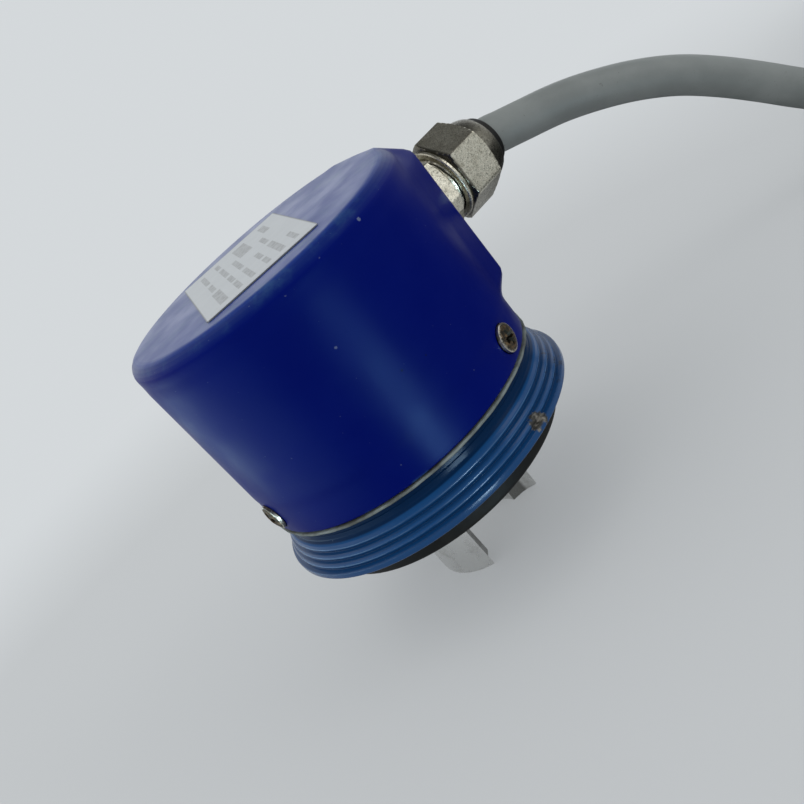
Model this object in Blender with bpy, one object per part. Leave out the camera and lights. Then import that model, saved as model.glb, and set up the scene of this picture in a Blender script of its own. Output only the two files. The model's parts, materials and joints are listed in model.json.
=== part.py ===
"""Shaft encoder with a jaw coupling hub on its shaft and a cable gland in the side of its cap.

Units are metres. The shaft axis is Z, the hub's jaws end at z = 0, and the gland points along +X.
"""

import math

import bmesh
import bpy
from mathutils import Matrix, Vector

MM = 0.001
DEGREE = math.pi / 180.0

# Clearances.
GAP = 0.3 * MM
RUNNING_GAP = 0.2 * MM
LABEL_GAP = 0.1 * MM
WELD = 0.001 * MM
OVERCUT = 1.0 * MM

# Round pieces are cut into this many sides.
WIDE_SIDES = 40
RING_SIDES = 24
SMALL_SIDES = 12
TINY_SIDES = 10
ARC_STEPS = 3
DOME_STEPS = 2
SMOOTH_ANGLE = 35.0 * DEGREE

# Coupling hub with two jaws.
HUB_RADIUS = 12.6 * MM
JAW_HEIGHT = 13.0 * MM
HUB_BODY = 7.4 * MM
JAW_INNER_RADIUS = 7.0 * MM
JAW_WIDTH_ANGLE = 67.3 * DEGREE
JAW_CENTRE_ANGLE = 15.6 * DEGREE
JAW_COUNT = 2
CORE_RECESS = 0.4 * MM
HUB_CHAMFER = 0.5 * MM
SET_SCREW_RADIUS = 2.0 * MM
SET_SCREW_SUNK = 1.6 * MM
SET_SCREW_KEY = 1.1 * MM
SET_SCREW_KEY_DEPTH = 2.0 * MM

# Flange, from the spigot's end up to the seat of the cap.
HUB_TO_FLANGE = 0.8 * MM
HUB_ROOM = 3.4 * MM
SPIGOT_RECESS_DEPTH = 2.8 * MM
SPIGOT_RADIUS = 25.0 * MM
SPIGOT_LENGTH = 5.0 * MM
SPIGOT_CHAMFER = 0.5 * MM
RIM_PROUD = 2.6 * MM
RIM_HEIGHT = 1.4 * MM
RIM_CHAMFER = 0.3 * MM
RIDGE_COUNT = 3
RIDGE_STEP = 0.75 * MM
RIDGE_HEIGHT = 1.45 * MM
RIDGE_LEDGE = 0.45 * MM
RIDGE_ROUND = 0.6 * MM
RIDGE_GROOVE = 0.2 * MM
NECK_INSET = 1.0 * MM
NECK_HEIGHT = 2.85 * MM
UPSTAND_HEIGHT = 10.0 * MM
UPSTAND_WALL = 3.2 * MM
POCKET_FLOOR = 1.0 * MM
BOSS_WALL = 2.3 * MM
BOSS_ABOVE_CIRCLIP = 1.2 * MM
BEARING_WEB = 1.0 * MM
WEB_ROOM = 4.0 * MM

# Rubber ring on the spigot and gasket under the cap.
FACE_RING_WALL = 2.5 * MM
FACE_RING_ROUND = 0.7 * MM
FACE_RING_SEAT = 0.6 * MM
GASKET_THICKNESS = 0.5 * MM
GASKET_OVERHANG = 0.2 * MM

# Cap.
CAP_RADIUS = 30.0 * MM
CAP_HEIGHT = 40.1 * MM
CAP_WALL = 2.5 * MM
CAP_TOP_ROUND = 2.7 * MM
CAP_INNER_ROUND = 1.5 * MM
PAD_PROUD = 2.6 * MM
PAD_HALF_WIDTH = 10.3 * MM
PAD_CORNER = 1.5 * MM
PAD_SINK = 0.15 * MM
PAD_START = 4.2 * MM
PAD_SLOPE = 4.5 * MM
PAD_ABOVE_GLAND = 9.3 * MM
PAD_END_SCALE = 0.86

# Screws that hold the cap, spaced evenly with one opposite the gland.
CAP_SCREW_COUNT = 3
CAP_SCREW_FIRST = 60.0 * DEGREE
CAP_SCREW_RISE = 4.2 * MM
CAP_SCREW_HEAD_RADIUS = 2.9 * MM
CAP_SCREW_RADIUS = 1.5 * MM
CAP_SCREW_LENGTH = 5.4 * MM
CAP_SCREW_CONE = 1.4 * MM
CAP_SCREW_DOME = 0.6 * MM
CAP_SCREW_EDGE = 0.25 * MM
CROSS_WIDTH = 0.8 * MM
CROSS_LENGTH = 3.2 * MM
CROSS_DEPTH = 1.0 * MM

# Name plate, bare.
LABEL_LENGTH = 41.0 * MM
LABEL_WIDTH = 23.3 * MM
LABEL_THICKNESS = 0.2 * MM
LABEL_CENTRE = (-2.0 * MM, 0.5 * MM)
LABEL_ANGLE = 73.6 * DEGREE
LABEL_CORNER = 0.8 * MM

# Bearings, ten by twenty-six by eight.
SHAFT_RADIUS = 5.0 * MM
BEARING_RADIUS = 13.0 * MM
BEARING_WIDTH = 8.0 * MM
BALL_RADIUS = 2.38 * MM
BALL_COUNT = 7
RING_SHOULDER = 1.9 * MM
GROOVE_ANGLE = 36.0 * DEGREE
BALL_SUBDIVISIONS = 2
CAGE_HALF_WIDTH = 0.7 * MM
CAGE_HALF_HEIGHT = 3.0 * MM
SPACER_LENGTH = 1.6 * MM
RING_RADIAL = 1.6 * MM
WAVE_COUNT = 3
WAVE_HEIGHT = 0.4 * MM
WAVE_THICKNESS = 0.4 * MM

# Shaft, its seal and retaining rings.
SHAFT_CHAMFER = 0.5 * MM
COLLAR_WALL = 1.4 * MM
SHAFT_FLAT_DEPTH = 0.5 * MM
SHAFT_ABOVE_BEARING = 5.5 * MM
SEAL_SECTION = 6.0 * MM
SEAL_LENGTH = 3.8 * MM
SEAL_WALL = 1.2 * MM
SEAL_LIP = 0.8 * MM
CIRCLIP_THICKNESS = 0.7 * MM
CIRCLIP_GROOVE_DEPTH = 0.5 * MM
CIRCLIP_RADIAL = 2.0 * MM
CIRCLIP_OPENING = 40.0 * DEGREE
HOUSING_GROOVE_DEPTH = 0.9 * MM

# Code disc on its hub.
DISC_HUB_WALL = 3.0 * MM
DISC_HUB_BARREL = 3.6 * MM
DISC_SEAT_WIDTH = 3.0 * MM
DISC_SEAT_THICKNESS = 1.5 * MM
DISC_SPIGOT_WALL = 1.3 * MM
DISC_SPIGOT_HEIGHT = 2.6 * MM
DISC_THICKNESS = 1.2 * MM
DISC_CLEARANCE = 0.7 * MM
CLAMP_RING_WIDTH = 3.7 * MM
CLAMP_RING_THICKNESS = 0.9 * MM
TRACK_INSET = 1.5 * MM

# Pan-head screws: the one on the shaft's end and those of the board.
PAN_TOP_SHARE = 0.8
PAN_SIDE_SHARE = 0.6
PAN_KEY_SHARE = 0.5
DISC_SCREW_RADIUS = 1.5 * MM
DISC_SCREW_REACH = 6.0 * MM
DISC_SCREW_HEAD_RADIUS = 2.8 * MM
DISC_SCREW_HEAD = 1.8 * MM
BOARD_SCREW_RADIUS = 1.0 * MM
BOARD_SCREW_HEAD_RADIUS = 2.0 * MM
BOARD_SCREW_HEAD = 1.4 * MM
BOARD_SCREW_REACH = 4.0 * MM

# Light source and sensor board.
HOLDER_BEYOND_TRACK = 2.5 * MM
HOLDER_WIDTH = 8.0 * MM
HOLDER_TO_DISC = 2.0 * MM
LENS_RADIUS = 1.1 * MM
LENS_HEIGHT = 1.0 * MM
OPTIC_ANGLE = 90.0 * DEGREE
CHIP_SIZE = (5.0 * MM, 7.0 * MM, 2.4 * MM)
CHIP_TO_DISC = 1.2 * MM
BOARD_THICKNESS = 1.6 * MM
STANDOFF_COUNT = 3
STANDOFF_FIRST = 30.0 * DEGREE
STANDOFF_RADIUS = 2.1 * MM
STANDOFF_CLEARANCE = 0.6 * MM
CONNECTOR_SIZE = (6.0 * MM, 10.0 * MM, 4.0 * MM)
CONNECTOR_X = 9.0 * MM
NOTCH_DEPTH = 7.0 * MM
NOTCH_WIDTH = 8.0 * MM
INNER_CABLE_RADIUS = 1.8 * MM

# Cable gland, its axis along +X.
GLAND_BELOW_TOP = 16.0 * MM
GLAND_BORE_CLEARANCE = 0.4 * MM
GLAND_THREAD_WALL = 1.5 * MM
GLAND_THREAD_BELOW = 6.8 * MM
GLAND_HOLE_REACH = 4.0 * MM
GLAND_NECK_WALL = 1.9 * MM
GLAND_NECK_LENGTH = 7.6 * MM
GLAND_HEX_WALL = 1.1 * MM
GLAND_HEX_LENGTH = 3.8 * MM
GLAND_HEX_TURN = -18.4 * DEGREE
NUT_STAND_OFF = 1.6 * MM
NUT_WALL = 1.3 * MM
NUT_TURN = -2.0 * DEGREE
NUT_COLLAR = 1.0 * MM
NUT_COLLAR_INSET = 0.1 * MM
NUT_LENGTH = 12.0 * MM
NUT_DOME = 3.7 * MM
NUT_CHAMFER = 0.5 * MM
NUT_LIP = 0.5 * MM
NUT_HOLE_DEPTH = 4.2 * MM
GLAND_SEAL_WALL = 1.5 * MM
GLAND_SEAL_TIP = 0.5 * MM
GLAND_SEAL_PROUD = 1.9 * MM
GLAND_SEAL_DEPTH = 5.2 * MM

# Cable: the stretch that isn't coiled, as points of its centre line from the gland to the coil.
CABLE_RADIUS = 4.1 * MM
CABLE_LENGTH = 1500.0 * MM
CABLE_BEVEL = 3
CABLE_POINT_STEP = 2.2
ROUTE_MM = (
    (57.5, -0.7, 56.1),
    (61.4, -2.2, 55.0),
    (69.5, -5.6, 52.6),
    (77.0, -9.0, 49.4),
    (84.1, -12.3, 45.5),
    (90.8, -15.5, 40.7),
    (96.9, -18.5, 34.9),
    (102.7, -21.4, 28.5),
    (108.3, -24.5, 21.8),
    (114.2, -27.7, 15.4),
    (121.3, -31.1, 9.9),
    (129.8, -34.6, 6.0),
    (139.5, -38.3, 4.3),
    (151.8, -42.2, 4.2),
    (164.1, -46.2, 4.15),
)
ROUTE_SAMPLES = 24

# Cable coil lying on the floor, two turns wide and three high, with the end laid on top of it.
COIL_CENTRE = (217.0 * MM, -16.0 * MM)
COIL_ENTRY_ANGLE = 252.0 * DEGREE
COIL_MIDDLE_RADIUS = 41.0 * MM
COIL_COLUMNS = 2
COIL_LAYERS = 3
COIL_SIDES = 32
COIL_ROUND = 2.5 * MM
COIL_CORNER_STEPS = 1
TAIL_SWEEP = 65.0 * DEGREE
TAIL_STEPS = 8
LEAD_COUNT = 5
LEAD_RADIUS = 0.75 * MM
LEAD_PITCH = 1.9 * MM
LEAD_SWEEP = 95.0 * DEGREE
LEAD_STEPS = 10
LEAD_CORE_LENGTH = 3.0 * MM
LEAD_SIDES = 6
TIE_AFTER_TAIL = 188.0 * DEGREE
TIE_WIDTH = 6.0 * MM
TIE_THICKNESS = 0.6 * MM

# Heights along the shaft, worked out from the sizes above.
HUB_TOP = JAW_HEIGHT + HUB_BODY
SPIGOT_END = HUB_TOP + HUB_TO_FLANGE - SPIGOT_RECESS_DEPTH
RIM_BOTTOM = SPIGOT_END + SPIGOT_LENGTH
CAP_SEAT = RIM_BOTTOM + RIM_HEIGHT + RIDGE_COUNT * RIDGE_HEIGHT + NECK_HEIGHT
GASKET_BOTTOM = CAP_SEAT + GAP
CAP_BOTTOM = GASKET_BOTTOM + GASKET_THICKNESS + GAP
CAP_TOP = CAP_BOTTOM + CAP_HEIGHT
UPSTAND_TOP = CAP_SEAT + UPSTAND_HEIGHT
POCKET_BOTTOM = CAP_SEAT + POCKET_FLOOR
CAP_SCREW_HEIGHT = CAP_BOTTOM + CAP_SCREW_RISE
GLAND_HEIGHT = CAP_TOP - GLAND_BELOW_TOP
SEAL_BOTTOM = SPIGOT_END + SPIGOT_RECESS_DEPTH + GAP
WEB_BOTTOM = SEAL_BOTTOM + SEAL_LENGTH + GAP
FRONT_BEARING = WEB_BOTTOM + BEARING_WEB + GAP
SPACER_BOTTOM = FRONT_BEARING + BEARING_WIDTH + GAP
WAVE_BOTTOM = SPACER_BOTTOM + SPACER_LENGTH + GAP
WAVE_SPACE = 2.0 * WAVE_HEIGHT + WAVE_THICKNESS
REAR_BEARING = WAVE_BOTTOM + WAVE_SPACE + GAP
REAR_BEARING_TOP = REAR_BEARING + BEARING_WIDTH
HOUSING_CLIP_BOTTOM = REAR_BEARING_TOP + GAP
BOSS_TOP = HOUSING_CLIP_BOTTOM + CIRCLIP_THICKNESS + GAP + BOSS_ABOVE_CIRCLIP
SHAFT_CLIP_BOTTOM = FRONT_BEARING - GAP - CIRCLIP_THICKNESS
SHAFT_TOP = REAR_BEARING_TOP + SHAFT_ABOVE_BEARING
DISC_HUB_BOTTOM = REAR_BEARING_TOP + GAP
DISC_SEAT_BOTTOM = DISC_HUB_BOTTOM + DISC_HUB_BARREL
DISC_BOTTOM = DISC_SEAT_BOTTOM + DISC_SEAT_THICKNESS + GAP
DISC_TOP = DISC_BOTTOM + DISC_THICKNESS
CLAMP_RING_BOTTOM = DISC_TOP + GAP
DISC_SPIGOT_TOP = DISC_BOTTOM - GAP + DISC_SPIGOT_HEIGHT
DISC_SCREW_SEAT = DISC_SPIGOT_TOP + GAP
CHIP_BOTTOM = DISC_TOP + CHIP_TO_DISC
BOARD_BOTTOM = CHIP_BOTTOM + CHIP_SIZE[2] + GAP
BOARD_TOP = BOARD_BOTTOM + BOARD_THICKNESS
STANDOFF_BOTTOM = POCKET_BOTTOM + GAP
STANDOFF_LENGTH = BOARD_BOTTOM - GAP - STANDOFF_BOTTOM
HOLDER_TOP = DISC_BOTTOM - HOLDER_TO_DISC

# Radii about the shaft, worked out from the sizes above.
RIM_RADIUS = CAP_RADIUS + RIM_PROUD
NECK_RADIUS = CAP_RADIUS - NECK_INSET
CAP_INNER_RADIUS = CAP_RADIUS - CAP_WALL
UPSTAND_RADIUS = CAP_INNER_RADIUS - GAP
POCKET_RADIUS = UPSTAND_RADIUS - UPSTAND_WALL
SPIGOT_RECESS_RADIUS = HUB_RADIUS + HUB_ROOM
FACE_RING_RADIUS = SPIGOT_RADIUS + GAP + FACE_RING_WALL
SEAL_RADIUS = SHAFT_RADIUS + SEAL_SECTION
WEB_HOLE_RADIUS = SHAFT_RADIUS + WEB_ROOM
COLLAR_RADIUS = SHAFT_RADIUS + COLLAR_WALL
BALL_PITCH_RADIUS = 0.5 * (SHAFT_RADIUS + BEARING_RADIUS)
BEARING_BORE = BEARING_RADIUS + GAP
BOSS_RADIUS = BEARING_BORE + BOSS_WALL
SET_SCREW_START = SHAFT_RADIUS - SHAFT_FLAT_DEPTH + GAP
SET_SCREW_LENGTH = HUB_RADIUS - SET_SCREW_SUNK - SET_SCREW_START
DISC_HUB_RADIUS = SHAFT_RADIUS + DISC_HUB_WALL
DISC_SEAT_RADIUS = DISC_HUB_RADIUS + DISC_SEAT_WIDTH
DISC_SPIGOT_RADIUS = SHAFT_RADIUS + DISC_SPIGOT_WALL
CLAMP_RING_RADIUS = DISC_SPIGOT_RADIUS + CLAMP_RING_WIDTH
STANDOFF_PITCH_RADIUS = POCKET_RADIUS - STANDOFF_RADIUS - STANDOFF_CLEARANCE
BOARD_RADIUS = STANDOFF_PITCH_RADIUS + STANDOFF_RADIUS
DISC_RADIUS = STANDOFF_PITCH_RADIUS - STANDOFF_RADIUS - DISC_CLEARANCE
TRACK_RADIUS = DISC_RADIUS - TRACK_INSET

# Gland: radii about its own axis and places along it.
GLAND_BORE_RADIUS = CABLE_RADIUS + GLAND_BORE_CLEARANCE
GLAND_THREAD_RADIUS = GLAND_BORE_RADIUS + GLAND_THREAD_WALL
GLAND_NECK_RADIUS = GLAND_BORE_RADIUS + GLAND_NECK_WALL
GLAND_HEX = 2.0 * (GLAND_NECK_RADIUS + GLAND_HEX_WALL)
NUT_HEX = 2.0 * (GLAND_NECK_RADIUS + GAP + NUT_WALL)
NUT_COLLAR_RADIUS = 0.5 * NUT_HEX - NUT_COLLAR_INSET
GLAND_SEAL_INNER = CABLE_RADIUS + GAP
NUT_HOLE_RADIUS = GLAND_SEAL_INNER + GLAND_SEAL_WALL + GAP
NUT_DOME_RADIUS = NUT_HOLE_RADIUS + NUT_LIP
PAD_FACE = CAP_RADIUS + PAD_PROUD
GLAND_SEAT = PAD_FACE + GAP
GLAND_INNER_END = GLAND_SEAT - GLAND_THREAD_BELOW
GLAND_HEX_END = GLAND_SEAT + GLAND_HEX_LENGTH
NUT_START = GLAND_HEX_END + NUT_STAND_OFF
NUT_END = NUT_START + NUT_COLLAR + NUT_LENGTH
CABLE_START = NUT_END + GLAND_SEAL_PROUD + GAP

# Coil: the cable runs in along a tangent of the outer turn and stops where it meets the coil.
COIL_HALF_WIDTH = COIL_COLUMNS * CABLE_RADIUS
COIL_HEIGHT = COIL_LAYERS * 2.0 * CABLE_RADIUS
COIL_OUTER_RADIUS = COIL_MIDDLE_RADIUS + COIL_HALF_WIDTH
OUTER_TURN_RADIUS = COIL_OUTER_RADIUS - CABLE_RADIUS
COIL_RUN_IN = math.sqrt(COIL_OUTER_RADIUS**2 - (OUTER_TURN_RADIUS - CABLE_RADIUS) ** 2) + GAP
TAIL_LENGTH = TAIL_SWEEP * COIL_MIDDLE_RADIUS


def clear_scene():
    for obj in list(bpy.data.objects):
        bpy.data.objects.remove(obj, do_unlink=True)


def surface(name, colour, roughness, metallic=0.0):
    """A Principled material, made once for each name."""
    made = bpy.data.materials.get(name) or bpy.data.materials.new(name)
    made.use_nodes = True
    shader = made.node_tree.nodes["Principled BSDF"]
    shader.inputs["Base Color"].default_value = (*colour, 1.0)
    shader.inputs["Roughness"].default_value = roughness
    shader.inputs["Metallic"].default_value = metallic
    return made


def cap_paint():
    return surface("cap_paint", (0.010, 0.018, 0.24), 0.35)


def flange_paint():
    return surface("flange_paint", (0.020, 0.11, 0.27), 0.3)


def rubber():
    return surface("black_rubber", (0.015, 0.015, 0.015), 0.7)


def gasket_sheet():
    return surface("gasket_sheet", (0.20, 0.25, 0.22), 0.7)


def bare_aluminium():
    return surface("bare_aluminium", (0.75, 0.76, 0.77), 0.3, 1.0)


def steel():
    return surface("steel", (0.55, 0.55, 0.54), 0.3, 1.0)


def nickel():
    return surface("nickel_plate", (0.50, 0.48, 0.43), 0.35, 1.0)


def cage_polymer():
    return surface("cage_polymer", (0.45, 0.30, 0.12), 0.5)


def board_laminate():
    return surface("board_laminate", (0.02, 0.15, 0.06), 0.45)


def dark_plastic():
    return surface("dark_plastic", (0.02, 0.02, 0.022), 0.45)


def clear_glass():
    return surface("clear_glass", (0.60, 0.66, 0.68), 0.05)


def label_foil():
    return surface("label_foil", (0.62, 0.63, 0.64), 0.4)


def cable_sheath():
    return surface("cable_sheath", (0.16, 0.18, 0.17), 0.55)


def lead_insulation():
    return surface("lead_insulation", (0.30, 0.16, 0.10), 0.5)


def add_object(name, shape, material, parent=None):
    """Turns a finished bmesh into a named, smooth-shaded object."""
    mesh = bpy.data.meshes.new(name)
    shape.to_mesh(mesh)
    shape.free()
    mesh.shade_smooth()
    mesh.set_sharp_from_angle(angle=SMOOTH_ANGLE)
    mesh.materials.append(material)
    obj = bpy.data.objects.new(name, mesh)
    bpy.context.scene.collection.objects.link(obj)
    obj.parent = parent
    return obj


def add_axis(name, location, rotation=(0.0, 0.0, 0.0)):
    """An empty that carries pieces sharing one axis."""
    axis = bpy.data.objects.new(name, None)
    axis.location = location
    axis.rotation_euler = rotation
    bpy.context.scene.collection.objects.link(axis)
    return axis


def combine(target, name, shape, operation="DIFFERENCE"):
    """Cuts a helper shape from an object, or joins it on, in the object's own frame."""
    mesh = bpy.data.meshes.new(name)
    shape.to_mesh(mesh)
    shape.free()
    helper = bpy.data.objects.new(name, mesh)
    bpy.context.scene.collection.objects.link(helper)
    helper.parent = target
    helper.hide_render = True
    helper.display_type = "WIRE"
    modifier = target.modifiers.new(name, "BOOLEAN")
    modifier.object = helper
    modifier.operation = operation


def finished(shape):
    bmesh.ops.remove_doubles(shape, verts=shape.verts, dist=WELD)
    bmesh.ops.recalc_face_normals(shape, faces=shape.faces)
    return shape


def bridged(rings, around, ends):
    """A skin over rings of points. around joins the last ring to the first, ends closes both ends."""
    shape = bmesh.new()
    rows = [[shape.verts.new(point) for point in ring] for ring in rings]
    count = len(rows[0])
    pairs = list(zip(rows, rows[1:]))
    if around:
        pairs.append((rows[-1], rows[0]))
    for lower, upper in pairs:
        for i in range(count):
            j = (i + 1) % count
            shape.faces.new((lower[i], lower[j], upper[j], upper[i]))
    if ends:
        shape.faces.new(rows[0])
        shape.faces.new(rows[-1])
    return finished(shape)


def turned(profile, sides, sweep=2.0 * math.pi):
    """Turns a closed outline of (radius, height) points about Z, all the way or part of it."""
    whole = sweep >= 2.0 * math.pi
    columns = sides if whole else sides + 1
    rings = []
    for i in range(columns):
        angle = sweep * i / sides
        rings.append([(r * math.cos(angle), r * math.sin(angle), z) for r, z in profile])
    return bridged(rings, around=whole, ends=not whole)


def turned_solid(profile, sides):
    """Turns an outline that starts and ends on the axis."""
    shape = bmesh.new()
    loops = []
    for r, z in profile:
        turns = range(sides) if r > 0.0 else range(1)
        angles = [2.0 * math.pi * i / sides for i in turns]
        loops.append([shape.verts.new((r * math.cos(a), r * math.sin(a), z)) for a in angles])
    for first, second in zip(loops, loops[1:]):
        for i in range(sides):
            j = (i + 1) % sides
            corners = [first[i % len(first)], first[j % len(first)]]
            corners += [second[j % len(second)], second[i % len(second)]]
            shape.faces.new(list(dict.fromkeys(corners)))
    return finished(shape)


def rod(radius, bottom, top, sides, turn=0.0):
    """A round or many-sided bar along Z."""
    rings = []
    for z in (bottom, top):
        angles = [turn + 2.0 * math.pi * i / sides for i in range(sides)]
        rings.append([(radius * math.cos(a), radius * math.sin(a), z) for a in angles])
    return bridged(rings, around=False, ends=True)


def prism(outline, bottom, top):
    """An outline of (x, y) points drawn up along Z."""
    rings = [[(x, y, z) for x, y in outline] for z in (bottom, top)]
    return bridged(rings, around=False, ends=True)


def block(size, centre):
    shape = bmesh.new()
    place = Matrix.Translation(centre) @ Matrix.Diagonal((*size, 1.0))
    bmesh.ops.create_cube(shape, size=1.0, matrix=place)
    return shape


def moved(shape, matrix):
    bmesh.ops.transform(shape, matrix=matrix, verts=shape.verts)
    return shape


def arc(centre, radius, start, stop, steps):
    """Points of an arc, both ends included."""
    angles = [start + (stop - start) * i / steps for i in range(steps + 1)]
    return [(centre[0] + radius * math.cos(a), centre[1] + radius * math.sin(a)) for a in angles]


def rounded_rectangle(length, width, corner, steps):
    outline = []
    for quarter in range(4):
        start = quarter * 0.5 * math.pi
        sign_x = 1.0 if quarter in (0, 3) else -1.0
        sign_y = 1.0 if quarter in (0, 1) else -1.0
        centre = (sign_x * (0.5 * length - corner), sign_y * (0.5 * width - corner))
        outline += arc(centre, corner, start, start + 0.5 * math.pi, steps)
    return outline


def around_axis(angle, axis="Z"):
    return Matrix.Rotation(angle, 4, axis)


def radial(angle, height):
    """Turns a tool that lies along Z so that it points outward at this angle and height."""
    lift = Matrix.Translation((0.0, 0.0, height))
    return lift @ around_axis(angle) @ around_axis(0.5 * math.pi, "Y")


def spaced(count, first):
    return [first + 2.0 * math.pi * i / count for i in range(count)]


def ridge_points():
    """The stepped outer side of the flange, from the neck down to the rim."""
    points = []
    for i in range(RIDGE_COUNT):
        steps_left = RIDGE_COUNT - i
        edge = RIM_RADIUS - steps_left * RIDGE_STEP
        top = RIM_BOTTOM + RIM_HEIGHT + steps_left * RIDGE_HEIGHT
        points.append((edge - RIDGE_LEDGE, top))
        points.append((edge, top - RIDGE_ROUND))
        points.append((edge - RIDGE_GROOVE, top - RIDGE_HEIGHT))
    return points


def flange_profile():
    ring_seat = RIM_BOTTOM + FACE_RING_SEAT
    recess_top = SPIGOT_END + SPIGOT_RECESS_DEPTH
    web_top = WEB_BOTTOM + BEARING_WEB
    groove_radius = BEARING_BORE + HOUSING_GROOVE_DEPTH
    groove_top = HOUSING_CLIP_BOTTOM + CIRCLIP_THICKNESS + GAP
    outer = [
        (POCKET_RADIUS, UPSTAND_TOP),
        (UPSTAND_RADIUS, UPSTAND_TOP),
        (UPSTAND_RADIUS, CAP_SEAT),
        (NECK_RADIUS, CAP_SEAT),
    ]
    rim = [
        (RIM_RADIUS - RIM_CHAMFER, RIM_BOTTOM + RIM_HEIGHT),
        (RIM_RADIUS, RIM_BOTTOM + RIM_HEIGHT - RIM_CHAMFER),
        (RIM_RADIUS, RIM_BOTTOM + RIM_CHAMFER),
        (RIM_RADIUS - RIM_CHAMFER, RIM_BOTTOM),
        (FACE_RING_RADIUS + GAP, RIM_BOTTOM),
        (FACE_RING_RADIUS + GAP, ring_seat),
    ]
    spigot = [
        (SPIGOT_RADIUS, ring_seat),
        (SPIGOT_RADIUS, SPIGOT_END + SPIGOT_CHAMFER),
        (SPIGOT_RADIUS - SPIGOT_CHAMFER, SPIGOT_END),
        (SPIGOT_RECESS_RADIUS, SPIGOT_END),
        (SPIGOT_RECESS_RADIUS, recess_top),
    ]
    bore = [
        (SEAL_RADIUS + GAP, recess_top),
        (SEAL_RADIUS + GAP, WEB_BOTTOM),
        (WEB_HOLE_RADIUS, WEB_BOTTOM),
        (WEB_HOLE_RADIUS, web_top),
        (BEARING_BORE, web_top),
    ]
    boss = [
        (BEARING_BORE, REAR_BEARING_TOP),
        (groove_radius, REAR_BEARING_TOP),
        (groove_radius, groove_top),
        (BEARING_BORE, groove_top),
        (BEARING_BORE, BOSS_TOP),
        (BOSS_RADIUS, BOSS_TOP),
        (BOSS_RADIUS, POCKET_BOTTOM),
        (POCKET_RADIUS, POCKET_BOTTOM),
    ]
    return outer + ridge_points() + rim + spigot + bore + boss


def make_flange():
    flange = add_object("flange", turned(flange_profile(), WIDE_SIDES), flange_paint())
    hole_start = POCKET_RADIUS - OVERCUT
    for i, angle in enumerate(spaced(CAP_SCREW_COUNT, CAP_SCREW_FIRST)):
        hole = rod(CAP_SCREW_RADIUS + GAP, hole_start, UPSTAND_RADIUS + OVERCUT, TINY_SIDES)
        combine(flange, f"tapped_hole_{i + 1}", moved(hole, radial(angle, CAP_SCREW_HEIGHT)))


def make_face_ring():
    inner = SPIGOT_RADIUS + GAP
    top = RIM_BOTTOM + FACE_RING_SEAT - GAP
    profile = [
        (inner, top),
        (FACE_RING_RADIUS, top),
        (FACE_RING_RADIUS, SPIGOT_END + FACE_RING_ROUND),
        (FACE_RING_RADIUS - FACE_RING_ROUND, SPIGOT_END),
        (inner, SPIGOT_END),
    ]
    add_object("face_seal_ring", turned(profile, WIDE_SIDES), rubber())


def make_gasket():
    inner = UPSTAND_RADIUS + GAP
    outer = CAP_RADIUS + GASKET_OVERHANG
    top = GASKET_BOTTOM + GASKET_THICKNESS
    profile = [(inner, top), (outer, top), (outer, GASKET_BOTTOM), (inner, GASKET_BOTTOM)]
    add_object("cap_gasket", turned(profile, WIDE_SIDES), gasket_sheet())


def cap_outside():
    round_centre = (CAP_RADIUS - CAP_TOP_ROUND, CAP_TOP - CAP_TOP_ROUND)
    edge = arc(round_centre, CAP_TOP_ROUND, 0.5 * math.pi, 0.0, ARC_STEPS)
    profile = [(0.0, CAP_TOP), *edge, (CAP_RADIUS, CAP_BOTTOM), (0.0, CAP_BOTTOM)]
    return turned_solid(profile, WIDE_SIDES)


def cap_inside():
    ceiling = CAP_TOP - CAP_WALL
    round_centre = (CAP_INNER_RADIUS - CAP_INNER_ROUND, ceiling - CAP_INNER_ROUND)
    edge = arc(round_centre, CAP_INNER_ROUND, 0.5 * math.pi, 0.0, ARC_STEPS)
    floor = CAP_BOTTOM - OVERCUT
    profile = [(0.0, ceiling), *edge, (CAP_INNER_RADIUS, floor), (0.0, floor)]
    return turned_solid(profile, WIDE_SIDES)


def pad_outline():
    """The flat pad for the gland and its sides, which run off tangent to the cap."""
    corner_reach = math.hypot(PAD_FACE, PAD_HALF_WIDTH)
    corner_angle = math.atan2(PAD_HALF_WIDTH, PAD_FACE)
    tangent_radius = CAP_RADIUS - PAD_SINK
    tangent_angle = corner_angle + math.acos(tangent_radius / corner_reach)
    tangent = Vector((math.cos(tangent_angle), math.sin(tangent_angle))) * tangent_radius
    corner = Vector((PAD_FACE, PAD_HALF_WIDTH))
    on_face = corner - Vector((0.0, PAD_CORNER))
    on_side = corner + (tangent - corner).normalized() * PAD_CORNER
    upper = []
    for i in range(ARC_STEPS + 1):
        t = i / ARC_STEPS
        upper.append(on_face * (1.0 - t) ** 2 + corner * 2.0 * t * (1.0 - t) + on_side * t**2)
    upper.append(tangent)
    lower = [Vector((p.x, -p.y)) for p in reversed(upper)]
    return [Vector((0.0, 0.0)), *lower, *upper]


def gland_pad():
    """The pad as a stack of outlines: a sloped foot, a straight side and a sloped top."""
    foot = CAP_BOTTOM + PAD_START
    top = GLAND_HEIGHT + PAD_ABOVE_GLAND
    levels = [
        (foot, PAD_END_SCALE),
        (foot + PAD_SLOPE, 1.0),
        (top, 1.0),
        (top + PAD_SLOPE, PAD_END_SCALE),
    ]
    outline = pad_outline()
    rings = [[(p.x * scale, p.y * scale, z) for p in outline] for z, scale in levels]
    return bridged(rings, around=False, ends=True)


def cap_screw_profile(clearance):
    """Half of a raised countersunk screw, its head's edge at z = 0 and its shank along -Z."""
    head = CAP_SCREW_HEAD_RADIUS + clearance
    shank = CAP_SCREW_RADIUS + clearance
    return [
        (head, 0.0),
        (head, -CAP_SCREW_EDGE),
        (shank, -CAP_SCREW_EDGE - CAP_SCREW_CONE),
        (shank, -CAP_SCREW_LENGTH),
        (0.0, -CAP_SCREW_LENGTH),
    ]


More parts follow.
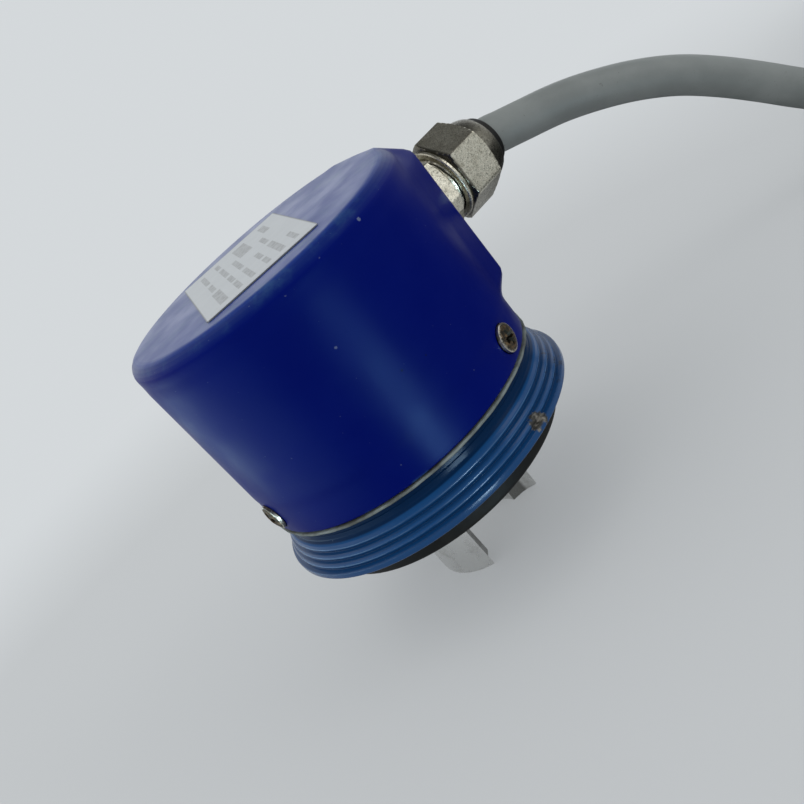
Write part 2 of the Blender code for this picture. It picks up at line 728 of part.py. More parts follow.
def make_cap():
    cap = add_object("cap_cover", cap_outside(), cap_paint())
    combine(cap, "gland_pad", gland_pad(), "UNION")
    combine(cap, "cap_inside", cap_inside())
    hole_start = CAP_INNER_RADIUS - GLAND_HOLE_REACH
    gland_hole = rod(GLAND_THREAD_RADIUS + GAP, hole_start, PAD_FACE + OVERCUT, RING_SIDES)
    combine(cap, "gland_hole", moved(gland_hole, radial(0.0, GLAND_HEIGHT)))
    for i, angle in enumerate(spaced(CAP_SCREW_COUNT, CAP_SCREW_FIRST)):
        above = [(0.0, OVERCUT), (CAP_SCREW_HEAD_RADIUS + GAP, OVERCUT)]
        tool = turned_solid(above + cap_screw_profile(GAP), SMALL_SIDES)
        bmesh.ops.translate(tool, vec=(0.0, 0.0, CAP_RADIUS), verts=tool.verts)
        combine(cap, f"countersink_{i + 1}", moved(tool, radial(angle, CAP_SCREW_HEIGHT)))


def cut_cross(screw, top):
    for i, size in enumerate(((CROSS_LENGTH, CROSS_WIDTH), (CROSS_WIDTH, CROSS_LENGTH))):
        depth = 2.0 * CROSS_DEPTH
        combine(screw, f"{screw.name}_cross_{i + 1}", block((*size, depth), (0.0, 0.0, top)))


def make_cap_screws():
    steps = [k / DOME_STEPS for k in range(DOME_STEPS)]
    dome = [(CAP_SCREW_HEAD_RADIUS * t, CAP_SCREW_DOME * (1.0 - t * t)) for t in steps]
    for i, angle in enumerate(spaced(CAP_SCREW_COUNT, CAP_SCREW_FIRST)):
        shape = turned_solid(dome + cap_screw_profile(0.0), SMALL_SIDES)
        screw = add_object(f"cap_screw_{i + 1}", shape, steel())
        x = CAP_RADIUS * math.cos(angle)
        y = CAP_RADIUS * math.sin(angle)
        screw.location = (x, y, CAP_SCREW_HEIGHT)
        screw.rotation_euler = (0.0, 0.5 * math.pi, angle)
        cut_cross(screw, CAP_SCREW_DOME)


def make_label():
    outline = rounded_rectangle(LABEL_LENGTH, LABEL_WIDTH, LABEL_CORNER, ARC_STEPS)
    label = add_object("name_label", prism(outline, 0.0, LABEL_THICKNESS), label_foil())
    label.location = (*LABEL_CENTRE, CAP_TOP + LABEL_GAP)
    label.rotation_euler = (0.0, 0.0, LABEL_ANGLE)


def hexagon(across_flats, bottom, top, turn):
    return rod(across_flats / math.sqrt(3.0), bottom, top, 6, turn)


def make_gland_body(axis):
    """A thread through the cap's wall, a hexagon on the pad and a neck under the nut."""
    shape = hexagon(GLAND_HEX, GLAND_SEAT, GLAND_HEX_END, GLAND_HEX_TURN)
    body = add_object("gland_body", shape, nickel(), axis)
    thread = rod(GLAND_THREAD_RADIUS, GLAND_INNER_END, GLAND_SEAT + OVERCUT, RING_SIDES)
    combine(body, "gland_thread", thread, "UNION")
    neck_end = GLAND_HEX_END + GLAND_NECK_LENGTH
    neck = rod(GLAND_NECK_RADIUS, GLAND_HEX_END - OVERCUT, neck_end, RING_SIDES)
    combine(body, "gland_neck", neck, "UNION")
    bore = rod(GLAND_BORE_RADIUS, GLAND_INNER_END - OVERCUT, neck_end + OVERCUT, SMALL_SIDES)
    combine(body, "gland_bore", bore)


def nut_turning():
    """The round envelope that chamfers the hexagon's corners and shapes the nut's collar and dome."""
    corner = NUT_HEX / math.sqrt(3.0)
    hex_start = NUT_START + NUT_COLLAR
    return [
        (0.0, NUT_END),
        (NUT_DOME_RADIUS, NUT_END),
        (0.5 * NUT_HEX, NUT_END - NUT_DOME),
        (corner + GAP, NUT_END - NUT_DOME - NUT_CHAMFER),
        (corner + GAP, hex_start + NUT_CHAMFER),
        (NUT_COLLAR_RADIUS, hex_start),
        (NUT_COLLAR_RADIUS, NUT_START),
        (0.0, NUT_START),
    ]


def make_gland_nut(axis):
    nut = add_object("gland_nut", hexagon(NUT_HEX, NUT_START, NUT_END, NUT_TURN), nickel(), axis)
    combine(nut, "nut_turning", turned_solid(nut_turning(), RING_SIDES), "INTERSECT")
    thread_top = NUT_END - NUT_HOLE_DEPTH
    thread = rod(GLAND_NECK_RADIUS + GAP, NUT_START - OVERCUT, thread_top, RING_SIDES)
    combine(nut, "nut_thread", thread)
    hole = rod(NUT_HOLE_RADIUS, thread_top - OVERCUT, NUT_END + OVERCUT, RING_SIDES)
    combine(nut, "nut_hole", hole)


def make_gland_seal(axis):
    """The rubber sleeve in the nut, its end tapering down to the cable."""
    outer = GLAND_SEAL_INNER + GLAND_SEAL_WALL
    top = NUT_END + GLAND_SEAL_PROUD
    bottom = top - GLAND_SEAL_DEPTH
    profile = [
        (GLAND_SEAL_INNER, top),
        (GLAND_SEAL_INNER + GLAND_SEAL_TIP, top),
        (outer, NUT_END),
        (outer, bottom),
        (GLAND_SEAL_INNER, bottom),
    ]
    add_object("gland_seal", turned(profile, RING_SIDES), rubber(), axis)


def make_gland():
    axis = add_axis("gland_axis", (0.0, 0.0, GLAND_HEIGHT), (0.0, 0.5 * math.pi, 0.0))
    make_gland_body(axis)
    make_gland_nut(axis)
    make_gland_seal(axis)


def groove(radius_sign):
    """Ball groove of a ring, with heights about its middle: -1 for the outer ring, +1 for the inner."""
    reach = BALL_RADIUS + RUNNING_GAP
    points = []
    for i in range(ARC_STEPS + 1):
        angle = GROOVE_ANGLE * (1.0 - 2.0 * i / ARC_STEPS)
        radius = BALL_PITCH_RADIUS - radius_sign * reach * math.cos(angle)
        points.append((radius, reach * math.sin(angle)))
    return points


def bearing_ring_profiles():
    half = 0.5 * BEARING_WIDTH
    outer_shoulder = BALL_PITCH_RADIUS + RING_SHOULDER
    inner_shoulder = BALL_PITCH_RADIUS - RING_SHOULDER
    bore = SHAFT_RADIUS + GAP
    outer = [(outer_shoulder, half), *groove(-1.0), (outer_shoulder, -half)]
    outer += [(BEARING_RADIUS, -half), (BEARING_RADIUS, half)]
    inner = [(inner_shoulder, half), *groove(1.0), (inner_shoulder, -half)]
    inner += [(bore, -half), (bore, half)]
    return outer, inner


def make_cage(name, axis):
    inner = BALL_PITCH_RADIUS - CAGE_HALF_WIDTH
    outer = BALL_PITCH_RADIUS + CAGE_HALF_WIDTH
    top = CAGE_HALF_HEIGHT
    profile = [(inner, top), (outer, top), (outer, -top), (inner, -top)]
    cage = add_object(f"{name}_cage", turned(profile, RING_SIDES), cage_polymer(), axis)
    for i, angle in enumerate(spaced(BALL_COUNT, 0.0)):
        pocket = rod(BALL_RADIUS + RUNNING_GAP, inner - OVERCUT, outer + OVERCUT, TINY_SIDES)
        combine(cage, f"{name}_pocket_{i + 1}", moved(pocket, radial(angle, 0.0)))


def make_balls(name, axis):
    for i, angle in enumerate(spaced(BALL_COUNT, 0.0)):
        shape = bmesh.new()
        bmesh.ops.create_icosphere(shape, subdivisions=BALL_SUBDIVISIONS, radius=BALL_RADIUS)
        ball = add_object(f"{name}_ball_{i + 1}", shape, steel(), axis)
        x = BALL_PITCH_RADIUS * math.cos(angle)
        y = BALL_PITCH_RADIUS * math.sin(angle)
        ball.location = (x, y, 0.0)


def make_bearing(name, bottom, shaft_axis):
    middle = (0.0, 0.0, bottom + 0.5 * BEARING_WIDTH)
    outer, inner = bearing_ring_profiles()
    outer_ring = add_object(f"{name}_outer_ring", turned(outer, RING_SIDES), steel())
    outer_ring.location = middle
    inner_ring = add_object(f"{name}_inner_ring", turned(inner, RING_SIDES), steel(), shaft_axis)
    inner_ring.location = middle
    cage_axis = add_axis(f"{name}_cage_axis", middle)
    make_cage(name, cage_axis)
    make_balls(name, cage_axis)


def make_spacer():
    inner = BEARING_RADIUS - RING_RADIAL
    bottom = SPACER_BOTTOM
    top = bottom + SPACER_LENGTH
    profile = [(inner, top), (BEARING_RADIUS, top), (BEARING_RADIUS, bottom), (inner, bottom)]
    add_object("bearing_spacer", turned(profile, RING_SIDES), steel())


def make_wave_spring():
    """A flat ring bent into even waves, which loads the bearings along the shaft."""
    inner = BEARING_RADIUS - RING_RADIAL
    middle = WAVE_BOTTOM + 0.5 * WAVE_SPACE
    half = 0.5 * WAVE_THICKNESS
    section = [(inner, half), (BEARING_RADIUS, half), (BEARING_RADIUS, -half), (inner, -half)]
    rings = []
    for i in range(RING_SIDES):
        angle = 2.0 * math.pi * i / RING_SIDES
        lift = middle + WAVE_HEIGHT * math.sin(WAVE_COUNT * angle)
        rings.append([(r * math.cos(angle), r * math.sin(angle), lift + z) for r, z in section])
    add_object("wave_spring", bridged(rings, around=True, ends=False), steel())


def make_circlip(name, inner, outer, bottom, parent=None):
    top = bottom + CIRCLIP_THICKNESS
    profile = [(inner, top), (outer, top), (outer, bottom), (inner, bottom)]
    sweep = 2.0 * math.pi - CIRCLIP_OPENING
    clip = add_object(name, turned(profile, RING_SIDES, sweep), steel(), parent)
    clip.rotation_euler = (0.0, 0.0, 0.5 * CIRCLIP_OPENING)


def make_circlips(shaft_axis):
    groove_radius = SHAFT_RADIUS - CIRCLIP_GROOVE_DEPTH
    inner = groove_radius + RUNNING_GAP
    make_circlip("shaft_circlip", inner, inner + CIRCLIP_RADIAL, SHAFT_CLIP_BOTTOM, shaft_axis)
    outer = BEARING_BORE + HOUSING_GROOVE_DEPTH - RUNNING_GAP
    make_circlip("housing_circlip", outer - CIRCLIP_RADIAL - GAP, outer, HOUSING_CLIP_BOTTOM)


def make_shaft_seal():
    """A lip seal: a cased ring with a lip that leans on the shaft."""
    top = SEAL_BOTTOM + SEAL_LENGTH
    lip = SHAFT_RADIUS + GAP
    profile = [
        (SEAL_RADIUS, top),
        (SEAL_RADIUS, SEAL_BOTTOM),
        (lip + SEAL_LIP, SEAL_BOTTOM),
        (lip, SEAL_BOTTOM + SEAL_LIP),
        (lip, SEAL_BOTTOM + 2.0 * SEAL_LIP),
        (lip + SEAL_WALL, SEAL_BOTTOM + 3.0 * SEAL_LIP),
        (lip + SEAL_WALL, SEAL_BOTTOM + SEAL_WALL),
        (SEAL_RADIUS - SEAL_WALL, SEAL_BOTTOM + SEAL_WALL),
        (SEAL_RADIUS - SEAL_WALL, top),
    ]
    add_object("shaft_seal", turned(profile, RING_SIDES), rubber())


def shaft_profile():
    bottom = JAW_HEIGHT + CORE_RECESS + GAP
    groove_radius = SHAFT_RADIUS - CIRCLIP_GROOVE_DEPTH
    groove_bottom = SHAFT_CLIP_BOTTOM - GAP
    collar_bottom = FRONT_BEARING + BEARING_WIDTH + GAP
    collar_top = REAR_BEARING - GAP
    return [
        (0.0, bottom),
        (SHAFT_RADIUS - SHAFT_CHAMFER, bottom),
        (SHAFT_RADIUS, bottom + SHAFT_CHAMFER),
        (SHAFT_RADIUS, groove_bottom),
        (groove_radius, groove_bottom),
        (groove_radius, FRONT_BEARING),
        (SHAFT_RADIUS, FRONT_BEARING),
        (SHAFT_RADIUS, collar_bottom),
        (COLLAR_RADIUS, collar_bottom),
        (COLLAR_RADIUS, collar_top),
        (SHAFT_RADIUS, collar_top),
        (SHAFT_RADIUS, SHAFT_TOP - SHAFT_CHAMFER),
        (SHAFT_RADIUS - SHAFT_CHAMFER, SHAFT_TOP),
        (0.0, SHAFT_TOP),
    ]


def set_screw_angle():
    return JAW_CENTRE_ANGLE + 0.5 * math.pi


def make_shaft(shaft_axis):
    shaft = add_object("shaft", turned_solid(shaft_profile(), RING_SIDES), steel(), shaft_axis)
    flat_size = (2.0 * OVERCUT, 2.0 * SHAFT_RADIUS, HUB_BODY)
    flat_x = SHAFT_RADIUS - SHAFT_FLAT_DEPTH + OVERCUT
    flat = block(flat_size, (flat_x, 0.0, HUB_TOP - 0.5 * HUB_BODY))
    combine(shaft, "set_screw_flat", moved(flat, around_axis(set_screw_angle())))
    hole_bottom = SHAFT_TOP - DISC_SCREW_REACH
    hole = rod(DISC_SCREW_RADIUS + GAP, hole_bottom, SHAFT_TOP + OVERCUT, TINY_SIDES)
    combine(shaft, "disc_screw_hole", hole)


def hub_profile():
    core = JAW_HEIGHT + CORE_RECESS
    bore = SHAFT_RADIUS + GAP
    return [
        (bore, HUB_TOP),
        (HUB_RADIUS - HUB_CHAMFER, HUB_TOP),
        (HUB_RADIUS, HUB_TOP - HUB_CHAMFER),
        (HUB_RADIUS, HUB_CHAMFER),
        (HUB_RADIUS - HUB_CHAMFER, 0.0),
        (JAW_INNER_RADIUS, 0.0),
        (JAW_INNER_RADIUS, core),
        (bore, core),
    ]


def jaw_gap_outline():
    """The wedge between two jaws, its point on the axis."""
    half = 0.5 * (2.0 * math.pi / JAW_COUNT - JAW_WIDTH_ANGLE)
    reach = 2.0 * HUB_RADIUS
    return [(0.0, 0.0), *arc((0.0, 0.0), reach, -half, half, ARC_STEPS)]


def make_hub(shaft_axis):
    hub = add_object("coupling_hub", turned(hub_profile(), WIDE_SIDES), bare_aluminium(), shaft_axis)
    first_gap = JAW_CENTRE_ANGLE + math.pi / JAW_COUNT
    for i, angle in enumerate(spaced(JAW_COUNT, first_gap)):
        wedge = prism(jaw_gap_outline(), -OVERCUT, JAW_HEIGHT)
        combine(hub, f"jaw_gap_{i + 1}", moved(wedge, around_axis(angle)))
    height = JAW_HEIGHT + 0.5 * (HUB_BODY + CORE_RECESS)
    hole = rod(SET_SCREW_RADIUS + GAP, SHAFT_RADIUS - OVERCUT, HUB_RADIUS + OVERCUT, TINY_SIDES)
    combine(hub, "set_screw_hole", moved(hole, radial(set_screw_angle(), height)))
    make_set_screw(shaft_axis, height)


def make_set_screw(shaft_axis, height):
    shape = rod(SET_SCREW_RADIUS, 0.0, SET_SCREW_LENGTH, SMALL_SIDES)
    screw = add_object("hub_set_screw", shape, steel(), shaft_axis)
    angle = set_screw_angle()
    x = SET_SCREW_START * math.cos(angle)
    y = SET_SCREW_START * math.sin(angle)
    screw.location = (x, y, height)
    screw.rotation_euler = (0.0, 0.5 * math.pi, angle)
    key_bottom = SET_SCREW_LENGTH - SET_SCREW_KEY_DEPTH
    key = rod(SET_SCREW_KEY, key_bottom, SET_SCREW_LENGTH + OVERCUT, 6)
    combine(screw, "set_screw_key", key)


def disc_hub_profile():
    """A cup over the shaft's end: barrel, seat for the disc, and a spigot through the disc."""
    bore = SHAFT_RADIUS + GAP
    web_bottom = SHAFT_TOP + GAP
    seat_top = DISC_SEAT_BOTTOM + DISC_SEAT_THICKNESS
    hole = DISC_SCREW_RADIUS + GAP
    return [
        (bore, DISC_HUB_BOTTOM),
        (DISC_HUB_RADIUS, DISC_HUB_BOTTOM),
        (DISC_HUB_RADIUS, DISC_SEAT_BOTTOM),
        (DISC_SEAT_RADIUS, DISC_SEAT_BOTTOM),
        (DISC_SEAT_RADIUS, seat_top),
        (DISC_SPIGOT_RADIUS, seat_top),
        (DISC_SPIGOT_RADIUS, DISC_SPIGOT_TOP),
        (hole, DISC_SPIGOT_TOP),
        (hole, web_bottom),
        (bore, web_bottom),
    ]


def make_disc_stack(shaft_axis):
    add_object("disc_hub", turned(disc_hub_profile(), RING_SIDES), bare_aluminium(), shaft_axis)
    hole = DISC_SPIGOT_RADIUS + GAP
    disc = [(hole, DISC_TOP), (DISC_RADIUS, DISC_TOP)]
    disc += [(DISC_RADIUS, DISC_BOTTOM), (hole, DISC_BOTTOM)]
    add_object("code_disc", turned(disc, WIDE_SIDES), clear_glass(), shaft_axis)
    top = CLAMP_RING_BOTTOM + CLAMP_RING_THICKNESS
    clamp = [(hole, top), (CLAMP_RING_RADIUS, top)]
    clamp += [(CLAMP_RING_RADIUS, CLAMP_RING_BOTTOM), (hole, CLAMP_RING_BOTTOM)]
    add_object("disc_clamp_ring", turned(clamp, RING_SIDES), bare_aluminium(), shaft_axis)
    make_pan_screw(
        "disc_screw",
        (0.0, 0.0, DISC_SCREW_SEAT),
        DISC_SCREW_HEAD_RADIUS,
        DISC_SCREW_HEAD,
        DISC_SCREW_RADIUS,
        DISC_SCREW_SEAT - SHAFT_TOP + DISC_SCREW_REACH - GAP,
        shaft_axis,
    )


def make_pan_screw(name, place, head_radius, head, shank_radius, shank, parent=None):
    """A pan-head screw along -Z, seated at its place."""
    profile = [
        (0.0, head),
        (PAN_TOP_SHARE * head_radius, head),
        (head_radius, PAN_SIDE_SHARE * head),
        (head_radius, 0.0),
        (shank_radius, 0.0),
        (shank_radius, -shank),
        (0.0, -shank),
    ]
    screw = add_object(name, turned_solid(profile, TINY_SIDES), steel(), parent)
    screw.location = place
    key = rod(PAN_KEY_SHARE * head_radius, PAN_KEY_SHARE * head, head + OVERCUT, 6)
    combine(screw, f"{name}_key", key)


def make_light_source():
    """The holder stands in the flange's pocket, with its lens under the disc's track."""
    axis = add_axis("optic_axis", (0.0, 0.0, 0.0), (0.0, 0.0, OPTIC_ANGLE))
    inner = BOSS_RADIUS + GAP
    outer = TRACK_RADIUS + HOLDER_BEYOND_TRACK
    bottom = POCKET_BOTTOM + GAP
    size = (outer - inner, HOLDER_WIDTH, HOLDER_TOP - bottom)
    centre = (0.5 * (inner + outer), 0.0, 0.5 * (bottom + HOLDER_TOP))
    add_object("led_holder", block(size, centre), dark_plastic(), axis)
    bead = arc((0.0, 0.0), 1.0, 0.0, 0.5 * math.pi, ARC_STEPS)
    dome = [(LENS_RADIUS * r, LENS_HEIGHT * z) for r, z in bead[:-1]]
    profile = [(0.0, 0.0), *dome, (0.0, LENS_HEIGHT)]
    lens = add_object("led_lens", turned_solid(profile, TINY_SIDES), clear_glass(), axis)
    lens.location = (TRACK_RADIUS, 0.0, HOLDER_TOP + GAP)
    chip_centre = (TRACK_RADIUS, 0.0, CHIP_BOTTOM + 0.5 * CHIP_SIZE[2])
    add_object("sensor_chip", block(CHIP_SIZE, chip_centre), dark_plastic(), axis)


def make_board():
    board_shape = rod(BOARD_RADIUS, BOARD_BOTTOM, BOARD_TOP, WIDE_SIDES)
    board = add_object("sensor_board", board_shape, board_laminate())
    notch_size = (2.0 * NOTCH_DEPTH, NOTCH_WIDTH, BOARD_THICKNESS + 2.0 * OVERCUT)
    notch_centre = (BOARD_RADIUS, 0.0, BOARD_BOTTOM + 0.5 * BOARD_THICKNESS)
    combine(board, "cable_notch", block(notch_size, notch_centre))
    for i, angle in enumerate(spaced(STANDOFF_COUNT, STANDOFF_FIRST)):
        x = STANDOFF_PITCH_RADIUS * math.cos(angle)
        y = STANDOFF_PITCH_RADIUS * math.sin(angle)
        hole_radius = BOARD_SCREW_RADIUS + GAP
        hole = rod(hole_radius, BOARD_BOTTOM - OVERCUT, BOARD_TOP + OVERCUT, TINY_SIDES)
        combine(board, f"board_hole_{i + 1}", moved(hole, Matrix.Translation((x, y, 0.0))))
        make_standoff(f"board_standoff_{i + 1}", (x, y, STANDOFF_BOTTOM))
        make_pan_screw(
            f"board_screw_{i + 1}",
            (x, y, BOARD_TOP + GAP),
            BOARD_SCREW_HEAD_RADIUS,
            BOARD_SCREW_HEAD,
            BOARD_SCREW_RADIUS,
            BOARD_THICKNESS + BOARD_SCREW_REACH,
        )
    centre = (CONNECTOR_X, 0.0, BOARD_TOP + GAP + 0.5 * CONNECTOR_SIZE[2])
    add_object("board_connector", block(CONNECTOR_SIZE, centre), dark_plastic())


def make_standoff(name, place):
    shape = rod(STANDOFF_RADIUS, 0.0, STANDOFF_LENGTH, 6)
    standoff = add_object(name, shape, nickel())
    standoff.location = place
    hole_bottom = STANDOFF_LENGTH - BOARD_SCREW_REACH - OVERCUT
    hole = rod(BOARD_SCREW_RADIUS + GAP, hole_bottom, STANDOFF_LENGTH + OVERCUT, TINY_SIDES)
    combine(standoff, f"{name}_hole", hole)


def between(points, i, t):
    """A point of the Catmull-Rom curve in the stretch after point i."""
    before = points[i - 1] if i > 0 else points[0] * 2.0 - points[1]
    last = len(points) - 1
    after = points[i + 2] if i + 2 <= last else points[last] * 2.0 - points[last - 1]
    a, b = points[i], points[i + 1]
    slope = (b - before) * t + (before * 2.0 - a * 5.0 + b * 4.0 - after) * t**2
    return a + (slope + (a * 3.0 - before - b * 3.0 + after) * t**3) * 0.5


def smooth_points(points, step):
    """Evenly spaced points on a smooth curve through the given ones."""
    dense = []
    for i in range(len(points) - 1):
        dense += [between(points, i, k / ROUTE_SAMPLES) for k in range(ROUTE_SAMPLES)]
    dense.append(points[-1])
    travel = [0.0]
    for a, b in zip(dense, dense[1:]):
        travel.append(travel[-1] + (b - a).length)
    count = max(2, round(travel[-1] / step))
    picked = []
    for k in range(count + 1):
        goal = travel[-1] * k / count
        i = max(j for j in range(len(travel)) if travel[j] <= goal + WELD)
        picked.append(dense[i])
    return picked


def add_tube(name, points, radius, material, parent=None):
    """A round cord with closed ends along a line of points."""
    curve = bpy.data.curves.new(name, "CURVE")
    curve.dimensions = "3D"
    curve.bevel_depth = radius
    curve.bevel_resolution = CABLE_BEVEL
    curve.use_fill_caps = True
    line = curve.splines.new("POLY")
    line.points.add(len(points) - 1)
    for target, point in zip(line.points, points):
        target.co = (*point, 1.0)
    curve.materials.append(material)
    tube = bpy.data.objects.new(name, curve)
    bpy.context.scene.collection.objects.link(tube)
    tube.parent = parent


def coil_entry():
    """Where the cable's straight run meets the coil, on the tangent that leads into its outer turn."""
    outward = Vector((math.cos(COIL_ENTRY_ANGLE), math.sin(COIL_ENTRY_ANGLE), 0.0))
    along = Vector((-outward.y, outward.x, 0.0))
    centre = Vector((*COIL_CENTRE, CABLE_RADIUS))
    return centre + outward * OUTER_TURN_RADIUS - along * COIL_RUN_IN


def make_cable():
    """The stretch from the gland to the coil. Returns its length."""
    start = Vector((CABLE_START, 0.0, GLAND_HEIGHT))
    route = [start, *[Vector(point) * MM for point in ROUTE_MM], coil_entry()]
    points = smooth_points(route, CABLE_POINT_STEP * 2.0 * CABLE_RADIUS)
    add_tube("cable_tube", points, CABLE_RADIUS, cable_sheath())
    return sum((b - a).length for a, b in zip(points, points[1:]))


def make_inner_cable():
    """The stripped core inside the cap: through the board's notch and into the connector's side."""
    plug_x = CONNECTOR_X + 0.5 * CONNECTOR_SIZE[0] + GAP
    plug_z = BOARD_TOP + GAP + 0.5 * CONNECTOR_SIZE[2]
    notch_end = BOARD_RADIUS - NOTCH_DEPTH
    notch_middle = 0.5 * (BOARD_RADIUS + notch_end)
    route = [
        Vector((GLAND_INNER_END - GAP, 0.0, GLAND_HEIGHT)),
        Vector((BOARD_RADIUS, 0.0, GLAND_HEIGHT)),
        Vector((notch_middle, 0.0, 0.5 * (GLAND_HEIGHT + plug_z))),
        Vector((notch_end + INNER_CABLE_RADIUS, 0.0, plug_z)),
        Vector((plug_x, 0.0, plug_z)),
    ]
    points = smooth_points(route, 2.0 * INNER_CABLE_RADIUS)
    add_tube("inner_cable", points, INNER_CABLE_RADIUS, cable_sheath())


def coil_section(inset):
    """The coil's round-cornered section as (radius, height) points, drawn in by an inset."""
    width = 2.0 * (COIL_HALF_WIDTH - inset)
    height = COIL_HEIGHT - 2.0 * inset
    outline = rounded_rectangle(width, height, COIL_ROUND, COIL_CORNER_STEPS)
    return [(COIL_MIDDLE_RADIUS + x, 0.5 * COIL_HEIGHT + y) for x, y in outline]


def tie_band(inner, outer, width, angle):
    """A band round the coil's section, as the gap between two insets of that section."""
    half = 0.5 * width
    loops = []
    for inset, side in ((outer, -half), (outer, half), (inner, half), (inner, -half)):
        loops.append([(r, side, z) for r, z in coil_section(inset)])
    return moved(bridged(loops, around=True, ends=False), around_axis(angle))


def make_coil(axis, tie_angle):
    shape = turned(coil_section(0.0), COIL_SIDES)
    coil = add_object("cable_coil", shape, cable_sheath(), axis)
    groove_width = TIE_WIDTH + 2.0 * GAP
    groove_band = tie_band(TIE_THICKNESS + GAP, -OVERCUT, groove_width, tie_angle)
    combine(coil, "tie_groove", groove_band)
    tie = tie_band(TIE_THICKNESS, 0.0, TIE_WIDTH, tie_angle)
    add_object("cable_tie", tie, dark_plastic(), axis)


def on_coil(angle, radius, height):
    return Vector((radius * math.cos(angle), radius * math.sin(angle), height))


def make_tail(axis, start):
    """The cable's last stretch, laid on top of the coil."""
    height = COIL_HEIGHT + GAP + CABLE_RADIUS
    angles = [start + TAIL_SWEEP * i / TAIL_STEPS for i in range(TAIL_STEPS + 1)]
    points = [on_coil(angle, COIL_MIDDLE_RADIUS, height) for angle in angles]
    add_tube("cable_tail", points, CABLE_RADIUS, cable_sheath(), axis)
    make_leads(axis, angles[-1], height)


def lead_tube(index, start_angle, height):
    """One lead, from the core's end to where it rests on the coil, beside its neighbours."""
    side = index - 0.5 * (LEAD_COUNT - 1)
    rest = COIL_HEIGHT + GAP + LEAD_RADIUS
    core_angle = LEAD_CORE_LENGTH / COIL_MIDDLE_RADIUS
    rings = []
    for i in range(LEAD_STEPS + 1):
        t = i / LEAD_STEPS
        spread = min(1.0, 2.0 * t)
        angle = start_angle + 0.5 * core_angle + LEAD_SWEEP * t
        radius = COIL_MIDDLE_RADIUS + side * (LEAD_RADIUS + (LEAD_PITCH - LEAD_RADIUS) * spread)
        middle = on_coil(angle, radius, height + (rest - height) * spread)
        outward = Vector((math.cos(angle), math.sin(angle), 0.0))
        ring = []
        for k in range(LEAD_SIDES):
            turn = 2.0 * math.pi * k / LEAD_SIDES
            up = Vector((0.0, 0.0, LEAD_RADIUS * math.sin(turn)))
            ring.append(middle + outward * LEAD_RADIUS * math.cos(turn) + up)
        rings.append(ring)
    return bridged(rings, around=False, ends=True)


def make_leads(axis, tail_end, height):
    """The open end of the cable: its core, with the leads coming out of it."""
    end_tilt = 0.5 * TAIL_SWEEP / TAIL_STEPS
    gap_angle = (GAP + CABLE_RADIUS * math.sin(end_tilt)) / COIL_MIDDLE_RADIUS
    core = rod(CABLE_RADIUS - GAP, 0.0, LEAD_CORE_LENGTH, SMALL_SIDES)
    start = tail_end + gap_angle
    place = Matrix.Translation(on_coil(start, COIL_MIDDLE_RADIUS, height))
    along = around_axis(start + 0.5 * math.pi) @ around_axis(0.5 * math.pi, "Y")
    leads = add_object("cable_leads", moved(core, place @ along), lead_insulation(), axis)
    for i in range(LEAD_COUNT):
        combine(leads, f"lead_{i + 1}", lead_tube(i, start, height), "UNION")


def make_coiled_end(free_length):
    """The rest of the cable: its turns take up what the free stretch and the tail leave."""
    wound = CABLE_LENGTH - free_length - COIL_RUN_IN - TAIL_LENGTH
    tail_start = COIL_ENTRY_ANGLE + wound / COIL_MIDDLE_RADIUS
    axis = add_axis("coil_axis", (*COIL_CENTRE, 0.0))
    make_coil(axis, tail_start + TIE_AFTER_TAIL)
    make_tail(axis, tail_start)


def build():
    clear_scene()
    shaft_axis = add_axis("shaft_axis", (0.0, 0.0, 0.0))
    make_flange()
    make_face_ring()
    make_gasket()
    make_cap()
    make_cap_screws()
    make_label()
    make_gland()
    make_bearing("front", FRONT_BEARING, shaft_axis)
    make_bearing("rear", REAR_BEARING, shaft_axis)
    make_spacer()
    make_wave_spring()
    make_circlips(shaft_axis)
    make_shaft_seal()
    make_shaft(shaft_axis)
    make_hub(shaft_axis)
    make_disc_stack(shaft_axis)
    make_light_source()
    make_board()
    make_inner_cable()
    make_coiled_end(make_cable())


build()
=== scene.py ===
"""The looks of a rotary encoder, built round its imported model: surfaces, finishes, cable, light, camera."""

import json
import math

import bmesh
import bpy
from mathutils import Matrix, Vector


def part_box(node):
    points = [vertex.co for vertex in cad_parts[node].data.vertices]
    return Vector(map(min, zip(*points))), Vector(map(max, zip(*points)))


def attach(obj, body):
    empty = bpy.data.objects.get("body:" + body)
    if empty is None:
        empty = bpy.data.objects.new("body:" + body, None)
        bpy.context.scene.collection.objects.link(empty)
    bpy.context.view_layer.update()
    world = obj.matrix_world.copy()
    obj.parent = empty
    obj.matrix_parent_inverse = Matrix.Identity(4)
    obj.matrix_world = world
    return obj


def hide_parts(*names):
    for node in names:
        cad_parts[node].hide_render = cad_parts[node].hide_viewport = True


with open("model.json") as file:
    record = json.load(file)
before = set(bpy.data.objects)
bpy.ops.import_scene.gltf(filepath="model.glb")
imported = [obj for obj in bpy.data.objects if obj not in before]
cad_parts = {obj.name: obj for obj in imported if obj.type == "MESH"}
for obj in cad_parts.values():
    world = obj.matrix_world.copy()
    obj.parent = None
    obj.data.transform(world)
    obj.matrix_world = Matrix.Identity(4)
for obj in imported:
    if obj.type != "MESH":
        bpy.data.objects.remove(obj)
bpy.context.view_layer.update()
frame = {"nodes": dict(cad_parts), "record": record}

MM = 0.001
DEGREE = math.pi / 180.0
TURN = 2.0 * math.pi
WELD = 1e-7
OVERCUT = 1.0 * MM

# Fineness of the surfaces
WIDE_SIDES = 240
RING_SIDES = 96
SMALL_SIDES = 48
FILLET_STEPS = 6
FILLET_SHARE = 0.48
SMOOTH_ANGLE = 32.0 * DEGREE
BEVEL_STEPS = 3
BEVEL_ANGLE = 40.0 * DEGREE

